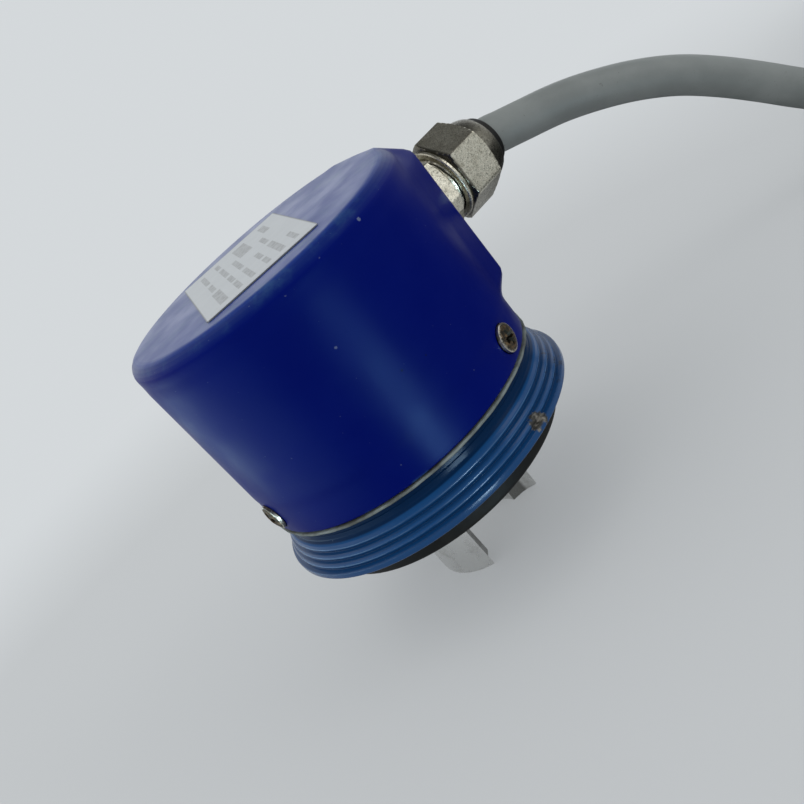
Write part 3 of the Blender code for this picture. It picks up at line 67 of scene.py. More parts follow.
# Camera, fitted to the photo: where it stands, and the directions of its picture's right and top edges
CAMERA_PLACE = Vector((-57.7, -159.1, 100.3)) * MM
CAMERA_RIGHT = Vector((0.6187, -0.4935, -0.611))
CAMERA_UP = Vector((0.7123, 0.0249, 0.701))
CAMERA_LENS = 42.4
CAMERA_SENSOR = 36.0
CAMERA_CLIP = 0.01

# Stage and light
FLOOR_RADIUS = 2.5
FLOOR_FADE = (0.1, 0.4)
FLOOR_FADE_CENTRE_MM = (-80.0, -40.0, 0.0)
FLOOR_COLOUR = (0.46, 0.468, 0.472)
FLOOR_BACKDROP_SHARE = 0.35
BACKDROP_COLOUR = (0.66, 0.69, 0.71)
# Mirrored in shiny surfaces, the sky is bright above the horizon and darkens overhead
MIRRORED_SKY = (0.36, 0.58, 1.55, 0.15)
AMBIENT_COLOUR = (0.95, 0.98, 1.0)
AMBIENT_STRENGTH = 0.86
DARK_CARD_PLACE = (0.26, -0.06, 0.002)
DARK_CARD_SIZE = (0.34, 0.28, 0.001)
DARK_CARD_COLOUR = (0.02, 0.02, 0.025)
WHITE = (1.0, 1.0, 1.0)
COOL = (0.6, 0.87, 1.0)
LIGHTS = (
    # name, place, aimed at, width and length, power, colour, whether matt surfaces are lit too
    ("key_light", (-0.5, 0.25, 0.75), (0.0, 0.0, 0.05), (1.1, 1.1), 2.5, WHITE, True),
    ("fill_light", (0.55, -0.55, 0.6), (0.0, 0.0, 0.05), (0.4, 0.4), 0.9, WHITE, True),
    ("left_strip", (-0.23, 0.1, 0.002), (-0.23, 0.1, 1.0), (0.25, 0.34), 1.0, COOL, False),
    ("low_strip", (-0.02, -0.18, 0.002), (-0.02, -0.18, 1.0), (0.025, 0.2), 0.55, COOL, False),
)

# Sizes that the frame gives
CAP_LOW, CAP_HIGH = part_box("cap_cover")
LABEL_LOW, LABEL_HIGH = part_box("name_label")
NUT_LOW, NUT_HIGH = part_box("gland_nut")
BODY_LOW, BODY_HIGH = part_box("gland_body")
HUB_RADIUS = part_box("coupling_hub")[1].y

# Cap, with a flat pad for the gland that slopes back at its foot and top
CAP_RADIUS = CAP_HIGH.y
CAP_BOTTOM = CAP_LOW.z
CAP_TOP = CAP_HIGH.z
CAP_WALL = 2.5 * MM
CAP_TOP_ROUND = 2.7 * MM
CAP_LIP_ROUND = 0.35 * MM
CAP_INNER_ROUND = 1.5 * MM
CAP_STEP = 1.0 * MM
CAP_COARSE_ANGLE = 1.8 * DEGREE
CAP_FINE_ANGLE = 0.75 * DEGREE
CAP_FINE_SPAN = 50.0 * DEGREE
PAD_FACE = CAP_HIGH.x
PAD_HALF_WIDTH = 10.3 * MM
PAD_SINK = 0.15 * MM
PAD_FOOT = CAP_BOTTOM + 2.4 * MM
PAD_SLOPE = 4.2 * MM
PAD_END_SCALE = 0.86
PAD_TOP = CAP_TOP - 4.6 * MM
PAD_SOFT_CORNER = 1.2 * MM
PAD_SOFT_EDGE = 0.7 * MM
PAD_SOFT_SLOPE = 0.035
GLAND_HEIGHT = 0.5 * (NUT_LOW.z + NUT_HIGH.z)
HOLE_GAP = 0.3 * MM

# Cap screws, with a raised countersunk head and a cross recess of half length and half width
SCREW_COUNT = 3
SCREW_FIRST = 60.0 * DEGREE
SCREW_HEIGHT = CAP_BOTTOM + 4.2 * MM
SCREW_HEAD = 2.75 * MM
SCREW_DOME = 0.6 * MM
SCREW_EDGE = 0.45 * MM
SCREW_LIFT = 0.55 * MM
SCREW_CONE = 1.4 * MM
SCREW_SHANK = 1.5 * MM
SCREW_LENGTH = 5.4 * MM
SCREW_GAP = 0.1 * MM
SCREW_MOUTH = 0.05 * MM
SCREW_MOUTH_END = 0.1 * MM
CROSS_TOP = (1.95 * MM, 0.6 * MM)
CROSS_FLOOR = (0.8 * MM, 0.32 * MM)
CROSS_DEPTH = 1.2 * MM
CROSS_RISE = 0.1 * MM

# Flange outline as (radius, height, rounding) corners in millimetres, with the ridges left to a loop
FLANGE_NECK = (
    (24.0, 42.0, 0.3), (27.2, 42.0, 0.3), (27.2, 32.0, 0.0), (29.0, 32.0, 0.2),
    (29.0, 31.1, 0.1), (29.16, 30.95, 0.1), (29.2, 29.9, 0.7),
)
RIDGE_EDGES = ((30.35, 29.15), (31.1, 27.7), (31.85, 26.25))
RIDGE_LEDGE = 0.45
RIDGE_CROWN = 0.6
RIDGE_DROP = 1.38
RIDGE_GROOVE = 0.36
RIDGE_ROUNDS = (0.12, 0.5, 0.08)
FLANGE_RIM = (
    (32.6, 24.8, 0.3), (32.6, 23.4, 0.35), (28.1, 23.4, 0.15), (28.1, 24.0, 0.0),
    (25.0, 24.0, 0.0), (25.0, 18.4, 0.5), (16.0, 18.4, 0.3), (16.0, 21.2, 0.0),
)
FLANGE_BORE = (
    (11.3, 21.2, 0.2), (11.3, 25.6, 0.0), (9.0, 25.6, 0.2), (9.0, 26.6, 0.2), (13.3, 26.6, 0.0),
    (13.3, 46.6, 0.0), (14.2, 46.6, 0.0), (14.2, 47.9, 0.0), (13.3, 47.9, 0.0), (13.3, 49.1, 0.2),
    (15.6, 49.1, 0.4), (15.6, 33.0, 0.4), (24.0, 33.0, 0.4),
)
FLANGE_HOLE_DEPTH = 8.0 * MM
NECK_FACES_MM = (29.4, 32.05)
GASKET_OUTLINE = ((27.5, 32.8, 0.0), (30.2, 32.8, 0.2), (30.2, 32.3, 0.2), (27.5, 32.3, 0.0))
GASKET_WAVE = 0.035 * MM
GASKET_WAVES = ((7.0, 0.0), (17.0, 1.0), (41.0, 0.0))
FACE_RING_OUTLINE = ((25.3, 23.7, 0.2), (27.8, 23.7, 0.3), (27.8, 18.4, 0.8), (25.3, 18.4, 0.2))

# Label
LABEL_LENGTH = 41.0 * MM
LABEL_WIDTH = 23.3 * MM
LABEL_CORNER = 0.8 * MM
LABEL_THICKNESS = 0.22 * MM
LABEL_LIFT = 0.03 * MM
LABEL_ANGLE = 73.6 * DEGREE
LABEL_BARS_MM = (
    # centre along, centre across, half length, half height of each printed bar
    (-11.0, 7.4, 6.0, 0.9), (0.6, 7.4, 3.4, 0.55), (11.6, 7.4, 5.0, 0.55),
    (-13.4, 3.9, 3.6, 0.55), (-5.2, 3.9, 3.0, 0.55), (4.6, 3.9, 4.8, 0.55), (14.2, 3.9, 2.6, 0.55),
    (-11.8, 1.2, 5.2, 0.55), (1.4, 1.2, 5.6, 0.55),
    (-14.2, -2.2, 2.8, 0.55), (-6.4, -2.2, 3.2, 0.55), (10.8, -1.6, 5.8, 1.5),
    (-10.4, -5.2, 6.6, 0.7), (2.2, -5.2, 3.6, 0.55), (-13.0, -8.2, 4.0, 0.55), (12.6, -7.4, 4.0, 0.8),
)

# Gland, drawn along its own axis
GLAND_THREAD = 6.0 * MM
GLAND_NECK = 6.4 * MM
GLAND_BORE = 4.5 * MM
GLAND_SEAT = 32.9 * MM
GLAND_HEX = 15.0 * MM
GLAND_HEX_END = 36.7 * MM
GLAND_HEX_TURN = -18.4 * DEGREE
GLAND_CHAMFER = 0.7 * MM
GLAND_FACE_INSET = 0.1 * MM
THREAD_PITCH = 1.5 * MM
THREAD_DEPTH = 0.55 * MM
GLAND_STEP = 0.2 * MM
HEX_SIDES = 240
HEX_SOFT_CORNER = 0.16 * MM
HEX_SOFT_CHAMFER = 0.1 * MM
NUT_HEX = 16.0 * MM
NUT_TURN = -2.0 * DEGREE
NUT_CHAMFER = 0.6 * MM
NUT_COLLAR_END = 39.3 * MM
NUT_COLLAR_RADIUS = 7.9 * MM
COLLAR_CHAMFER = 0.2 * MM
COLLAR_GROOVE = (0.35 * MM, 0.25 * MM)
COLLAR_GAP = 0.08 * MM
NUT_DOME_START = 47.6 * MM
NUT_DOME_STEP = 0.5 * MM
NUT_DOME_RADIUS = 6.4 * MM
NUT_DOME_STRAIGHT = 0.55
NUT_BORE = 6.7 * MM
NUT_BORE_END = 47.1 * MM
NUT_HOLE = 6.2 * MM
NUT_HOLE_START = 47.6 * MM
SEAL_OUTLINE = ((4.4, 53.2, 0.1), (5.3, 53.2, 0.5), (6.0, 51.3, 0.4), (5.9, 48.0, 0.0), (4.4, 48.0, 0.0))

# Coupling hub
JAW_HEIGHT = 13.0 * MM
JAW_COUNT = 2
JAW_CENTRE = 15.6 * DEGREE
JAW_WIDTH = 67.3 * DEGREE
JAW_BEVEL = 0.16 * MM
JAW_INNER = 6.5 * MM
JAW_FLANK_STEP = 0.7 * MM
JAW_GAP_ANGLE = 15.0 * DEGREE
JAW_HOLLOW = 1.5 * MM
JAW_HOLLOW_RADIUS = 9.0 * MM
HUB_OUTLINE = (
    (5.3, 20.4, 0.3), (12.6, 20.4, 0.5), (12.6, 0.0, 0.5),
    (7.0, 0.0, 0.3), (7.0, 13.4, 0.3), (5.3, 13.4, 0.3),
)

# Cable: the same route as the model's, in millimetres, from inside the gland to the coil
CABLE_RADIUS = 4.1 * MM
CABLE_LENGTH = 1500.0 * MM
CABLE_INSIDE_MM = ((47.5, 0.0, 57.2), (53.5, 0.0, 57.2))
ROUTE_MM = (
    (57.5, -0.7, 56.1), (61.4, -2.2, 55.0), (69.5, -5.6, 52.6), (77.0, -9.0, 49.4), (84.1, -12.3, 45.5),
    (90.8, -15.5, 40.7), (96.9, -18.5, 34.9), (102.7, -21.4, 28.5), (108.3, -24.5, 21.8),
    (114.2, -27.7, 15.4), (121.3, -31.1, 9.9), (129.8, -34.6, 6.0), (139.5, -38.3, 4.3),
    (151.8, -42.2, 4.2), (164.1, -46.2, 4.15),
)
ROUTE_SAMPLES = 5
COIL_CENTRE = Vector((217.0, -16.0, 0.0)) * MM
COIL_ENTRY = 252.0 * DEGREE
COIL_MIDDLE = 41.0 * MM
COIL_OUTER_TURN = COIL_MIDDLE + CABLE_RADIUS
COIL_INNER_TURN = COIL_MIDDLE - CABLE_RADIUS
COIL_LAYERS = 3
COIL_RUN_IN = 27.5 * MM
COIL_SHIFT = 90.0 * DEGREE
COIL_STEP = 5.0 * DEGREE
COIL_CLIMB_LEAD = 30.0 * DEGREE
COIL_ON_TOP = 29.0 * MM
TAIL_SWEEP = 65.0 * DEGREE
TIE_AFTER_TAIL = 188.0 * DEGREE
TIE_LIFT = 1.2 * MM
TIE_LIFT_SPAN = 30.0 * DEGREE
TIE_WIDTH = 4.8 * MM
TIE_THICKNESS = 1.1 * MM
TIE_GAP = 0.05 * MM
TIE_BEVEL = 0.4 * MM
TIE_HEAD = Vector((6.4, 5.2, 4.4)) * MM
TIE_HEAD_OUT = 0.3 * TIE_HEAD.z
TIE_STUB = Vector((3.6, 1.0, 7.0)) * MM
CORD_SMOOTHNESS = 8
LEAD_SMOOTHNESS = 4
LEAD_RADIUS = 0.75 * MM
LEAD_FIRST_PITCH = 1.5 * LEAD_RADIUS
LEAD_PITCH = 1.9 * MM
LEAD_SPREAD_PACE = 1.6
LEAD_SWEEP = 86.0 * DEGREE
LEAD_STEPS = 16
LEAD_TIP_SWEEP = 7.0 * DEGREE
LEAD_TIP_STEPS = (-0.2, 0.0, 0.5, 1.0)
LEAD_TIP_RADIUS = 0.45 * MM
LEAD_CORE_RADIUS = 3.3 * MM
LEAD_CORE_LENGTH = 3.0 * MM
LEAD_CORE_OVERLAP = 0.01
LEAD_COLOURS = (
    (0.55, 0.55, 0.52), (0.16, 0.07, 0.035), (0.03, 0.22, 0.07), (0.62, 0.5, 0.03), (0.26, 0.27, 0.28),
)


def scaled(points):
    """Points given in millimetres, in metres."""
    return [tuple(value * MM for value in point) for point in points]


def filleted(corners):
    """The points of a closed outline whose (across, up, rounding) corners are turned into arcs."""
    points = []
    for i, (across, up, rounding) in enumerate(corners):
        corner = Vector((across, up))
        if rounding == 0.0:
            points.append(corner)
            continue
        before = Vector(corners[i - 1][:2]) - corner
        after = Vector(corners[(i + 1) % len(corners)][:2]) - corner
        half = 0.5 * before.angle(after)
        reach = min(rounding / math.tan(half), FILLET_SHARE * before.length, FILLET_SHARE * after.length)
        start = corner + before.normalized() * reach
        stop = corner + after.normalized() * reach
        for k in range(FILLET_STEPS + 1):
            t = k / FILLET_STEPS
            shares = ((1.0 - t) ** 2, 2.0 * t * (1.0 - t) * math.sin(half), t * t)
            total = start * shares[0] + corner * shares[1] + stop * shares[2]
            points.append(total / sum(shares))
    return points


def stations(first, last, step):
    count = max(1, round((last - first) / step))
    return [first + (last - first) * k / count for k in range(count + 1)]


def soft_min(a, b, reach):
    """The smaller of two lengths, rounded off where they are within reach of each other."""
    overlap = max(reach - abs(a - b), 0.0) / reach
    return min(a, b) - 0.25 * reach * overlap**2


def soft_max(a, b, reach):
    return -soft_min(-a, -b, reach)


def spaced(count, first=0.0):
    return [first + TURN * k / count for k in range(count)]


def polar(angle, radius, height):
    return Vector((radius * math.cos(angle), radius * math.sin(angle), height))


def upright(angle, outline):
    """A (radius, height) outline stood up in a direction from the Z axis."""
    return [polar(angle, r, z) for r, z in outline]


def bridged(loops, around=True):
    """A closed skin over loops of points in order. The last is joined to the first, or both are capped."""
    shape = bmesh.new()
    rows = [[shape.verts.new(point) for point in loop] for loop in loops]
    following = rows[1:] + rows[:1] if around else rows[1:]
    for row, other in zip(rows, following):
        for k in range(len(row)):
            shape.faces.new((row[k - 1], row[k], other[k], other[k - 1]))
    if not around:
        shape.faces.new(rows[0])
        shape.faces.new(rows[-1])
    bmesh.ops.remove_doubles(shape, verts=shape.verts, dist=WELD)
    bmesh.ops.recalc_face_normals(shape, faces=shape.faces)
    return shape


def turned(outline, sides):
    """A closed (radius, height) outline turned about Z."""
    return bridged([upright(angle, outline) for angle in spaced(sides)])


def drill(radius, low, high):
    """A round cutter along Z."""
    return turned([(0.0, low), (radius, low), (radius, high), (0.0, high)], SMALL_SIDES)


def block(size, centre):
    shape = bmesh.new()
    bmesh.ops.create_cube(shape, size=1.0)
    bmesh.ops.scale(shape, vec=size, verts=shape.verts)
    bmesh.ops.translate(shape, vec=centre, verts=shape.verts)
    return shape


def moved(shape, matrix):
    bmesh.ops.transform(shape, matrix=matrix, verts=shape.verts)
    return shape


def radial(angle, radius, height):
    """A frame whose Z axis points away from the shaft's axis."""
    place = Matrix.Translation(polar(angle, radius, height))
    return place @ Matrix.Rotation(angle, 4, "Z") @ Matrix.Rotation(0.5 * math.pi, 4, "Y")


def add_object(name, data):
    thing = bpy.data.objects.new(name, data)
    bpy.context.scene.collection.objects.link(thing)
    return thing


def add_mesh(name, shape, material):
    mesh = bpy.data.meshes.new(name)
    shape.to_mesh(mesh)
    shape.free()
    mesh.materials.append(material)
    piece = add_object(name, mesh)
    soften(piece)
    return piece


def soften(piece):
    """Smooth shading, except across sharp edges."""
    piece.data.shade_smooth()
    piece.data.set_sharp_from_angle(angle=SMOOTH_ANGLE)


def settle(piece, slot, *nodes, body="housing"):
    """Fix a piece to its body and let it stand for the model's nodes."""
    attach(piece, body)
    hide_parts(*nodes)
    return piece


def keep_modified(piece):
    """Replace a piece's mesh with what its modifiers make of it."""
    graph = bpy.context.evaluated_depsgraph_get()
    mesh = bpy.data.meshes.new_from_object(piece.evaluated_get(graph))
    piece.modifiers.clear()
    piece.data = mesh
    soften(piece)


def cut(piece, shapes):
    """Cut closed shapes out of a piece."""
    tools = []
    for shape in shapes:
        tool = add_mesh("cutter", shape, piece.data.materials[0])
        change = piece.modifiers.new("cut", "BOOLEAN")
        change.operation = "DIFFERENCE"
        change.object = tool
        tools.append(tool)
    keep_modified(piece)
    for tool in tools:
        bpy.data.meshes.remove(tool.data)


def bevel(piece, width):
    change = piece.modifiers.new("bevel", "BEVEL")
    change.width = width
    change.segments = BEVEL_STEPS
    change.limit_method = "ANGLE"
    change.angle_limit = BEVEL_ANGLE
    keep_modified(piece)


# Material nodes

# A spot's edge lies between these shares of its radius, and its raggedness has this many waves in it
SPOT_EDGE = (0.9, 1.15)
SPOT_WAVES = 2.2


class Nodes:
    """A node tree and short ways to add to it. Places on a piece are in metres, before it moves."""

    def __init__(self, tree):
        self.tree = tree
        self.places = self.add("TexCoord").outputs
        self.where = self.places["Object"]

    def feed(self, value, socket):
        """Link an output to a socket, or set a plain number or colour on it."""
        if isinstance(value, bpy.types.NodeSocket):
            self.tree.links.new(value, socket)
        elif socket.type == "RGBA":
            socket.default_value = (*value, 1.0)
        else:
            socket.default_value = value

    def add(self, kind, inputs=()):
        """A new node, with what goes into its inputs by their names or numbers."""
        node = self.tree.nodes.new(f"ShaderNode{kind}")
        for key, value in dict(inputs).items():
            self.feed(value, node.inputs[key])
        return node

    def math(self, operation, *values):
        node = self.add("Math", enumerate(values))
        node.operation = operation
        return node.outputs["Value"]

    def both(self, first, second):
        return self.math("MULTIPLY", first, second)

    def either(self, most, *others):
        """The greatest of several masks."""
        for mask in others:
            most = self.math("MAXIMUM", most, mask)
        return most

    def split(self, vector):
        """A vector's X, Y and Z."""
        return self.add("SeparateXYZ", {"Vector": vector}).outputs[:]

    def height(self):
        return self.split(self.where)[2]

    def from_axis(self):
        """The distance from the piece's own Z axis."""
        x, y = self.split(self.where)[:2]
        return self.math("SQRT", self.math("ADD", self.both(x, x), self.both(y, y)))

    def distance(self, point_mm):
        node = self.add("VectorMath", {0: self.where, 1: Vector(point_mm) * MM})
        node.operation = "DISTANCE"
        return node.outputs["Value"]

    def past_box(self, middle, half_size):
        """How far a place is outside a box in X and Y, which is less than 0 inside it."""
        past = []
        for value, centre, half in zip(self.split(self.where), middle, half_size):
            apart = self.math("ABSOLUTE", self.math("SUBTRACT", value, centre))
            past.append(self.math("SUBTRACT", apart, half))
        return self.math("MAXIMUM", *past)

    def stretched(self, scale, turn=(0.0, 0.0, 0.0)):
        node = self.add("Mapping", {"Vector": self.where, "Scale": scale, "Rotation": turn})
        return node.outputs["Vector"]

    def noise(self, scale, detail=2.0, rough=0.5, where=None):
        place = self.where if where is None else where
        inputs = {"Vector": place, "Scale": scale, "Detail": detail, "Roughness": rough}
        return self.add("TexNoise", inputs).outputs["Fac"]

    def ramp(self, value, low, high, start=0.0, stop=1.0):
        """A value's range from low to high laid smoothly onto another range."""
        inputs = {"Value": value, "From Min": low, "From Max": high, "To Min": start, "To Max": stop}
        node = self.add("MapRange", inputs)
        node.interpolation_type = "SMOOTHSTEP"
        return node.outputs["Result"]

    def band(self, value, stretches_mm, most=1.0):
        """A mask that rises over a value's first stretch and falls over its second."""
        rise, fall = scaled(stretches_mm)
        return self.both(self.ramp(value, *rise), self.ramp(value, *fall, most, 0.0))

    def spots(self, marks_mm, ragged=0.8):
        """1 inside ragged patches, each given by its place and radius, and 0 outside them."""
        masks = []
        for *place, size in marks_mm:
            radius = size * MM
            edge = self.both(self.noise(SPOT_WAVES / radius, 4.0, 0.6), ragged * radius)
            reach = self.math("ADD", self.distance(place), edge)
            masks.append(self.ramp(reach, *[share * radius for share in SPOT_EDGE], 1.0, 0.0))
        return self.either(*masks)

    def blend(self, share, first, second):
        """One colour going over into another."""
        node = self.add("Mix", {"Factor": share})
        node.data_type = "RGBA"
        sockets = [socket for socket in node.inputs if socket.type == "RGBA"]
        for colour, socket in zip((first, second), sockets):
            self.feed(colour, socket)
        return [socket for socket in node.outputs if socket.type == "RGBA"][0]

    def seen_rays(self):
        """Masks for the rays that show a surface directly, in a mirror and through glass."""
        path = self.add("LightPath")
        return [path.outputs[f"Is {kind} Ray"] for kind in ("Camera", "Glossy", "Transmission")]

    def put_out(self, share, first, second, output):
        """Two shaders mixed and linked to the tree's output."""
        mixed = self.add("MixShader", {0: share, 1: first.outputs[0], 2: second.outputs[0]})
        self.add(output, {"Surface": mixed.outputs["Shader"]})


class Finish(Nodes):
    """A material with two mixed tones for its base and coats blended over it, one after another."""

    def __init__(self, name, roughness, metallic=0.0, specular=0.5):
        self.material = bpy.data.materials.new(name)
        self.material.use_nodes = True
        super().__init__(self.material.node_tree)
        self.shader = self.tree.nodes["Principled BSDF"]
        self.set("Roughness", roughness)
        self.set("Metallic", metallic)
        self.set("Specular IOR Level", specular)

    def set(self, name, value):
        self.feed(value, self.shader.inputs[name])

    def tones(self, share, first, second):
        self.colour = first
        self.coat(share, second)

    def coat(self, share, colour):
        self.colour = self.blend(share, self.colour, colour)
        self.set("Base Color", self.colour)

    def roughen(self, mask, smooth, rough):
        self.set("Roughness", self.ramp(mask, 0.0, 1.0, smooth, rough))

    def bump(self, height, strength, depth_mm):
        inputs = {"Strength": strength, "Distance": depth_mm * MM, "Height": height}
        self.set("Normal", self.add("Bump", inputs).outputs["Normal"])


# Finishes. A mark is a place and a radius, and a band is the two stretches where it rises and falls

CAP_BLUE_TONES = ((0.0003, 0.0036, 0.110), (0.0004, 0.0050, 0.140))
# Painted sheen: the flat top is painted a lighter blue, as its reflection makes it look
CAP_TOP_SHEEN = (0.002, 0.018, 0.195)
# Lighter blue of rubbed paint; on the top's round edge it is also a painted sheen
CAP_RUBBED_AND_SHEEN = (0.028, 0.078, 0.18)
CAP_DUST = (0.30, 0.36, 0.44)
CAP_DIRT = (0.006, 0.007, 0.012)
CAP_TOP_GLOSS = 0.5
CAP_SIDE_GLOSS = 0.035
CAP_GLOSS_SLACK = 0.1
# Red share of the paint's reflections where it is dull and where it is glossiest
CAP_TINT_RED = (0.52, 0.80)
CAP_TINT_GREEN = 0.90
CAP_TOP_FADE = 0.6 * MM
CAP_LIP_WEAR = 0.6 * MM
# Stretch below the top where the round edge gets rubbed wear and painted sheen
CAP_CROWN_WEAR_AND_SHEEN = (2.2 * MM, 0.5 * MM)
CAP_PALE_SPECKS_MM = ((6.0, -29.24, 70.8, 0.55), (-10.2, -28.2, 59.25, 0.4), (14.0, 26.6, 52.0, 0.4))
CAP_DARK_SPECKS_MM = (
    (-4.95, -29.6, 49.2, 0.35), (-0.3, -30.0, 48.0, 0.3), (26.2, -7.7, 73.1, 0.5), (26.4, -13.8, 71.3, 0.6),
)
CAP_SCUFFS_MM = ((-21.5, -7.0, 73.2, 9.0),)
FLANGE_BLUE_TONES = ((0.0060, 0.046, 0.147), (0.0080, 0.063, 0.192))
# Painted shade for the neck's recess and the grooves between the ridges
FLANGE_PAINTED_SHADE = (0.0006, 0.010, 0.038)
# Painted highlight along the ridges' crests, broken up by noise
FLANGE_CREST_HIGHLIGHT = (0.075, 0.17, 0.32)
FLANGE_SPECK = (0.012, 0.018, 0.03)
FLANGE_PALE_SPECK = (0.2, 0.27, 0.36)
FLANGE_CHIP_TONES = ((0.035, 0.033, 0.028), (0.21, 0.195, 0.17))
FLANGE_GLOSS = 0.2
FLANGE_NECK_GLOSS = 0.04
FLANGE_GROOVE = 26.3 * MM
FLANGE_PITCH = 1.45 * MM
FLANGE_GROOVE_EDGE = (0.12 * MM, 0.42 * MM)
FLANGE_CREST_EDGE = (0.58 * MM, 0.70 * MM)
FLANGE_NECK_MM = ((29.3, 29.6), (32.0, 32.1))
FLANGE_RIDGES_MM = ((24.4, 24.5), (28.6, 28.8))
FLANGE_CHIPS_MM = ((6.6, -31.2, 25.0, 2.1), (8.3, -30.7, 24.7, 2.1), (7.6, -31.0, 26.3, 1.8))
FLANGE_WEAR_MM = ((22.0, -22.5, 25.9, 3.6), (18.0, -26.2, 25.7, 3.0))
RUBBER_TONES = ((0.005, 0.005, 0.005), (0.017, 0.016, 0.013))
GASKET_TONES = ((0.10, 0.12, 0.115), (0.27, 0.31, 0.30))
GASKET_BROWN = (0.05, 0.05, 0.042)
ALUMINIUM_TONES = ((0.68, 0.68, 0.665), (0.50, 0.495, 0.475))
# Painted shade for the hub's inner surfaces and the jaws' hollowed flanks
ALUMINIUM_PAINTED_SHADE = (0.07, 0.068, 0.06)
HUB_PAINTED_SHADE_MM = ((7.05, 7.2), (10.0, 10.8))
STEEL_TONES = ((0.58, 0.57, 0.54), (0.34, 0.27, 0.19))
SCREW_TONES = ((0.36, 0.32, 0.25), (0.72, 0.68, 0.60))
SCREW_RUST_TONES = ((0.006, 0.0035, 0.002), (0.13, 0.072, 0.03))
# Painted shade in the screws' cross recess
SCREW_RECESS_SHADE = (0.006, 0.004, 0.002)
SCREW_RUST_RAGGED = 1.2 * MM
SCREW_RUST_EDGE = (2.9 * MM, 3.4 * MM)
SCREW_RECESS_EDGE = (2.3 * MM, 2.5 * MM)
SCREW_RECESS_DEPTH = (0.04 * MM, 0.3 * MM)
NICKEL_TONES = ((0.72, 0.68, 0.565), (0.51, 0.475, 0.38))
NICKEL_PITS = (0.15, 0.135, 0.11)
NICKEL_ETCHED = (0.20, 0.185, 0.145)
# Painted shade for the nut's dome, its foot and the gland's underside
NICKEL_PAINTED_SHADE = (0.04, 0.036, 0.028)
NUT_DOME_SHADE = 0.7 * MM
NUT_FOOT_MM = ((39.15, 39.3), (39.6, 40.2))
GLAND_UNDERSIDE = (5.0 * MM, 4.6 * MM)
CAGE_TONES = ((0.36, 0.23, 0.09), (0.50, 0.34, 0.15))
BOARD_TONES = ((0.035, 0.21, 0.09), (0.02, 0.13, 0.055))
PLASTIC_TONES = ((0.018, 0.018, 0.019), (0.036, 0.036, 0.038))
GLASS_TONES = ((0.80, 0.86, 0.88), (0.02, 0.02, 0.025))
CODE_RING_MM = ((13.6, 13.8), (16.2, 16.4))
CODE_LINES = 180.0
LABEL_TONES = ((0.375, 0.393, 0.407), (0.435, 0.454, 0.468))
LABEL_INK = (0.22, 0.225, 0.23)
LABEL_DARK_EDGE = (0.07, 0.075, 0.085)
LABEL_INK_EDGE = (-0.06 * MM, 0.06 * MM)
LABEL_DARK_EDGE_SPAN = (-0.32 * MM, -0.05 * MM)
SHEATH_TONES = ((0.165, 0.180, 0.174), (0.205, 0.220, 0.212))
SHEATH_SPECK = (0.09, 0.09, 0.085)
LEAD_FILLER = (0.5, 0.49, 0.46)
COPPER_TONES = ((0.55, 0.30, 0.19), (0.80, 0.55, 0.42))


def cap_paint(name, gloss):
    """Deep blue satin paint: fine peel, scattered specks, a rubbed lip and a scuffed patch on top, with a
    painted sheen on the flat top and rubbed wear mixed with painted sheen on the top's round edge.
    """
    paint = Finish(name, 0.36, specular=gloss)
    dull_red, glossy_red = CAP_TINT_RED
    red = dull_red + (glossy_red - dull_red) * gloss / CAP_TOP_GLOSS
    paint.set("Specular Tint", (red, CAP_TINT_GREEN, 1.0))
    height = paint.height()
    paint.tones(paint.noise(55.0, 3.0), *CAP_BLUE_TONES)
    # painted sheen: a lighter blue over the flat top
    paint.coat(paint.ramp(height, CAP_TOP - CAP_TOP_FADE, CAP_TOP), CAP_TOP_SHEEN)
    wear_and_highlight = paint.noise(240.0, 4.0, 0.65)
    low = paint.ramp(height, CAP_BOTTOM, CAP_BOTTOM + CAP_LIP_WEAR, 1.0, 0.0)
    lip = paint.both(low, paint.ramp(wear_and_highlight, 0.52, 0.66))
    # the top's round edge: partly rubbed wear, partly a painted sheen
    high = paint.ramp(height, *[CAP_TOP - drop for drop in CAP_CROWN_WEAR_AND_SHEEN])
    crown = paint.both(high, paint.ramp(wear_and_highlight, 0.45, 0.75, 0.16, 0.6))
    paint.coat(paint.either(lip, crown), CAP_RUBBED_AND_SHEEN)
    dust = paint.ramp(paint.noise(1700.0, 1.0), 0.785, 0.81, 0.0, 0.5)
    paint.coat(paint.both(paint.either(dust, paint.spots(CAP_PALE_SPECKS_MM)), 0.35), CAP_DUST)
    lines = paint.noise(1.0, 3.0, 0.7, paint.stretched((60.0, 1500.0, 300.0), (0.0, 0.0, 0.9)))
    scratches = paint.both(paint.spots(CAP_SCUFFS_MM), paint.ramp(lines, 0.63, 0.68))
    paint.coat(paint.both(paint.either(scratches, paint.spots(CAP_DARK_SPECKS_MM)), 0.75), CAP_DIRT)
    paint.set("Roughness", paint.ramp(paint.noise(110.0, 4.0), 0.3, 0.7, 0.30, 0.42))
    paint.bump(paint.noise(800.0, 2.0), 0.3, 0.03)
    return paint.material


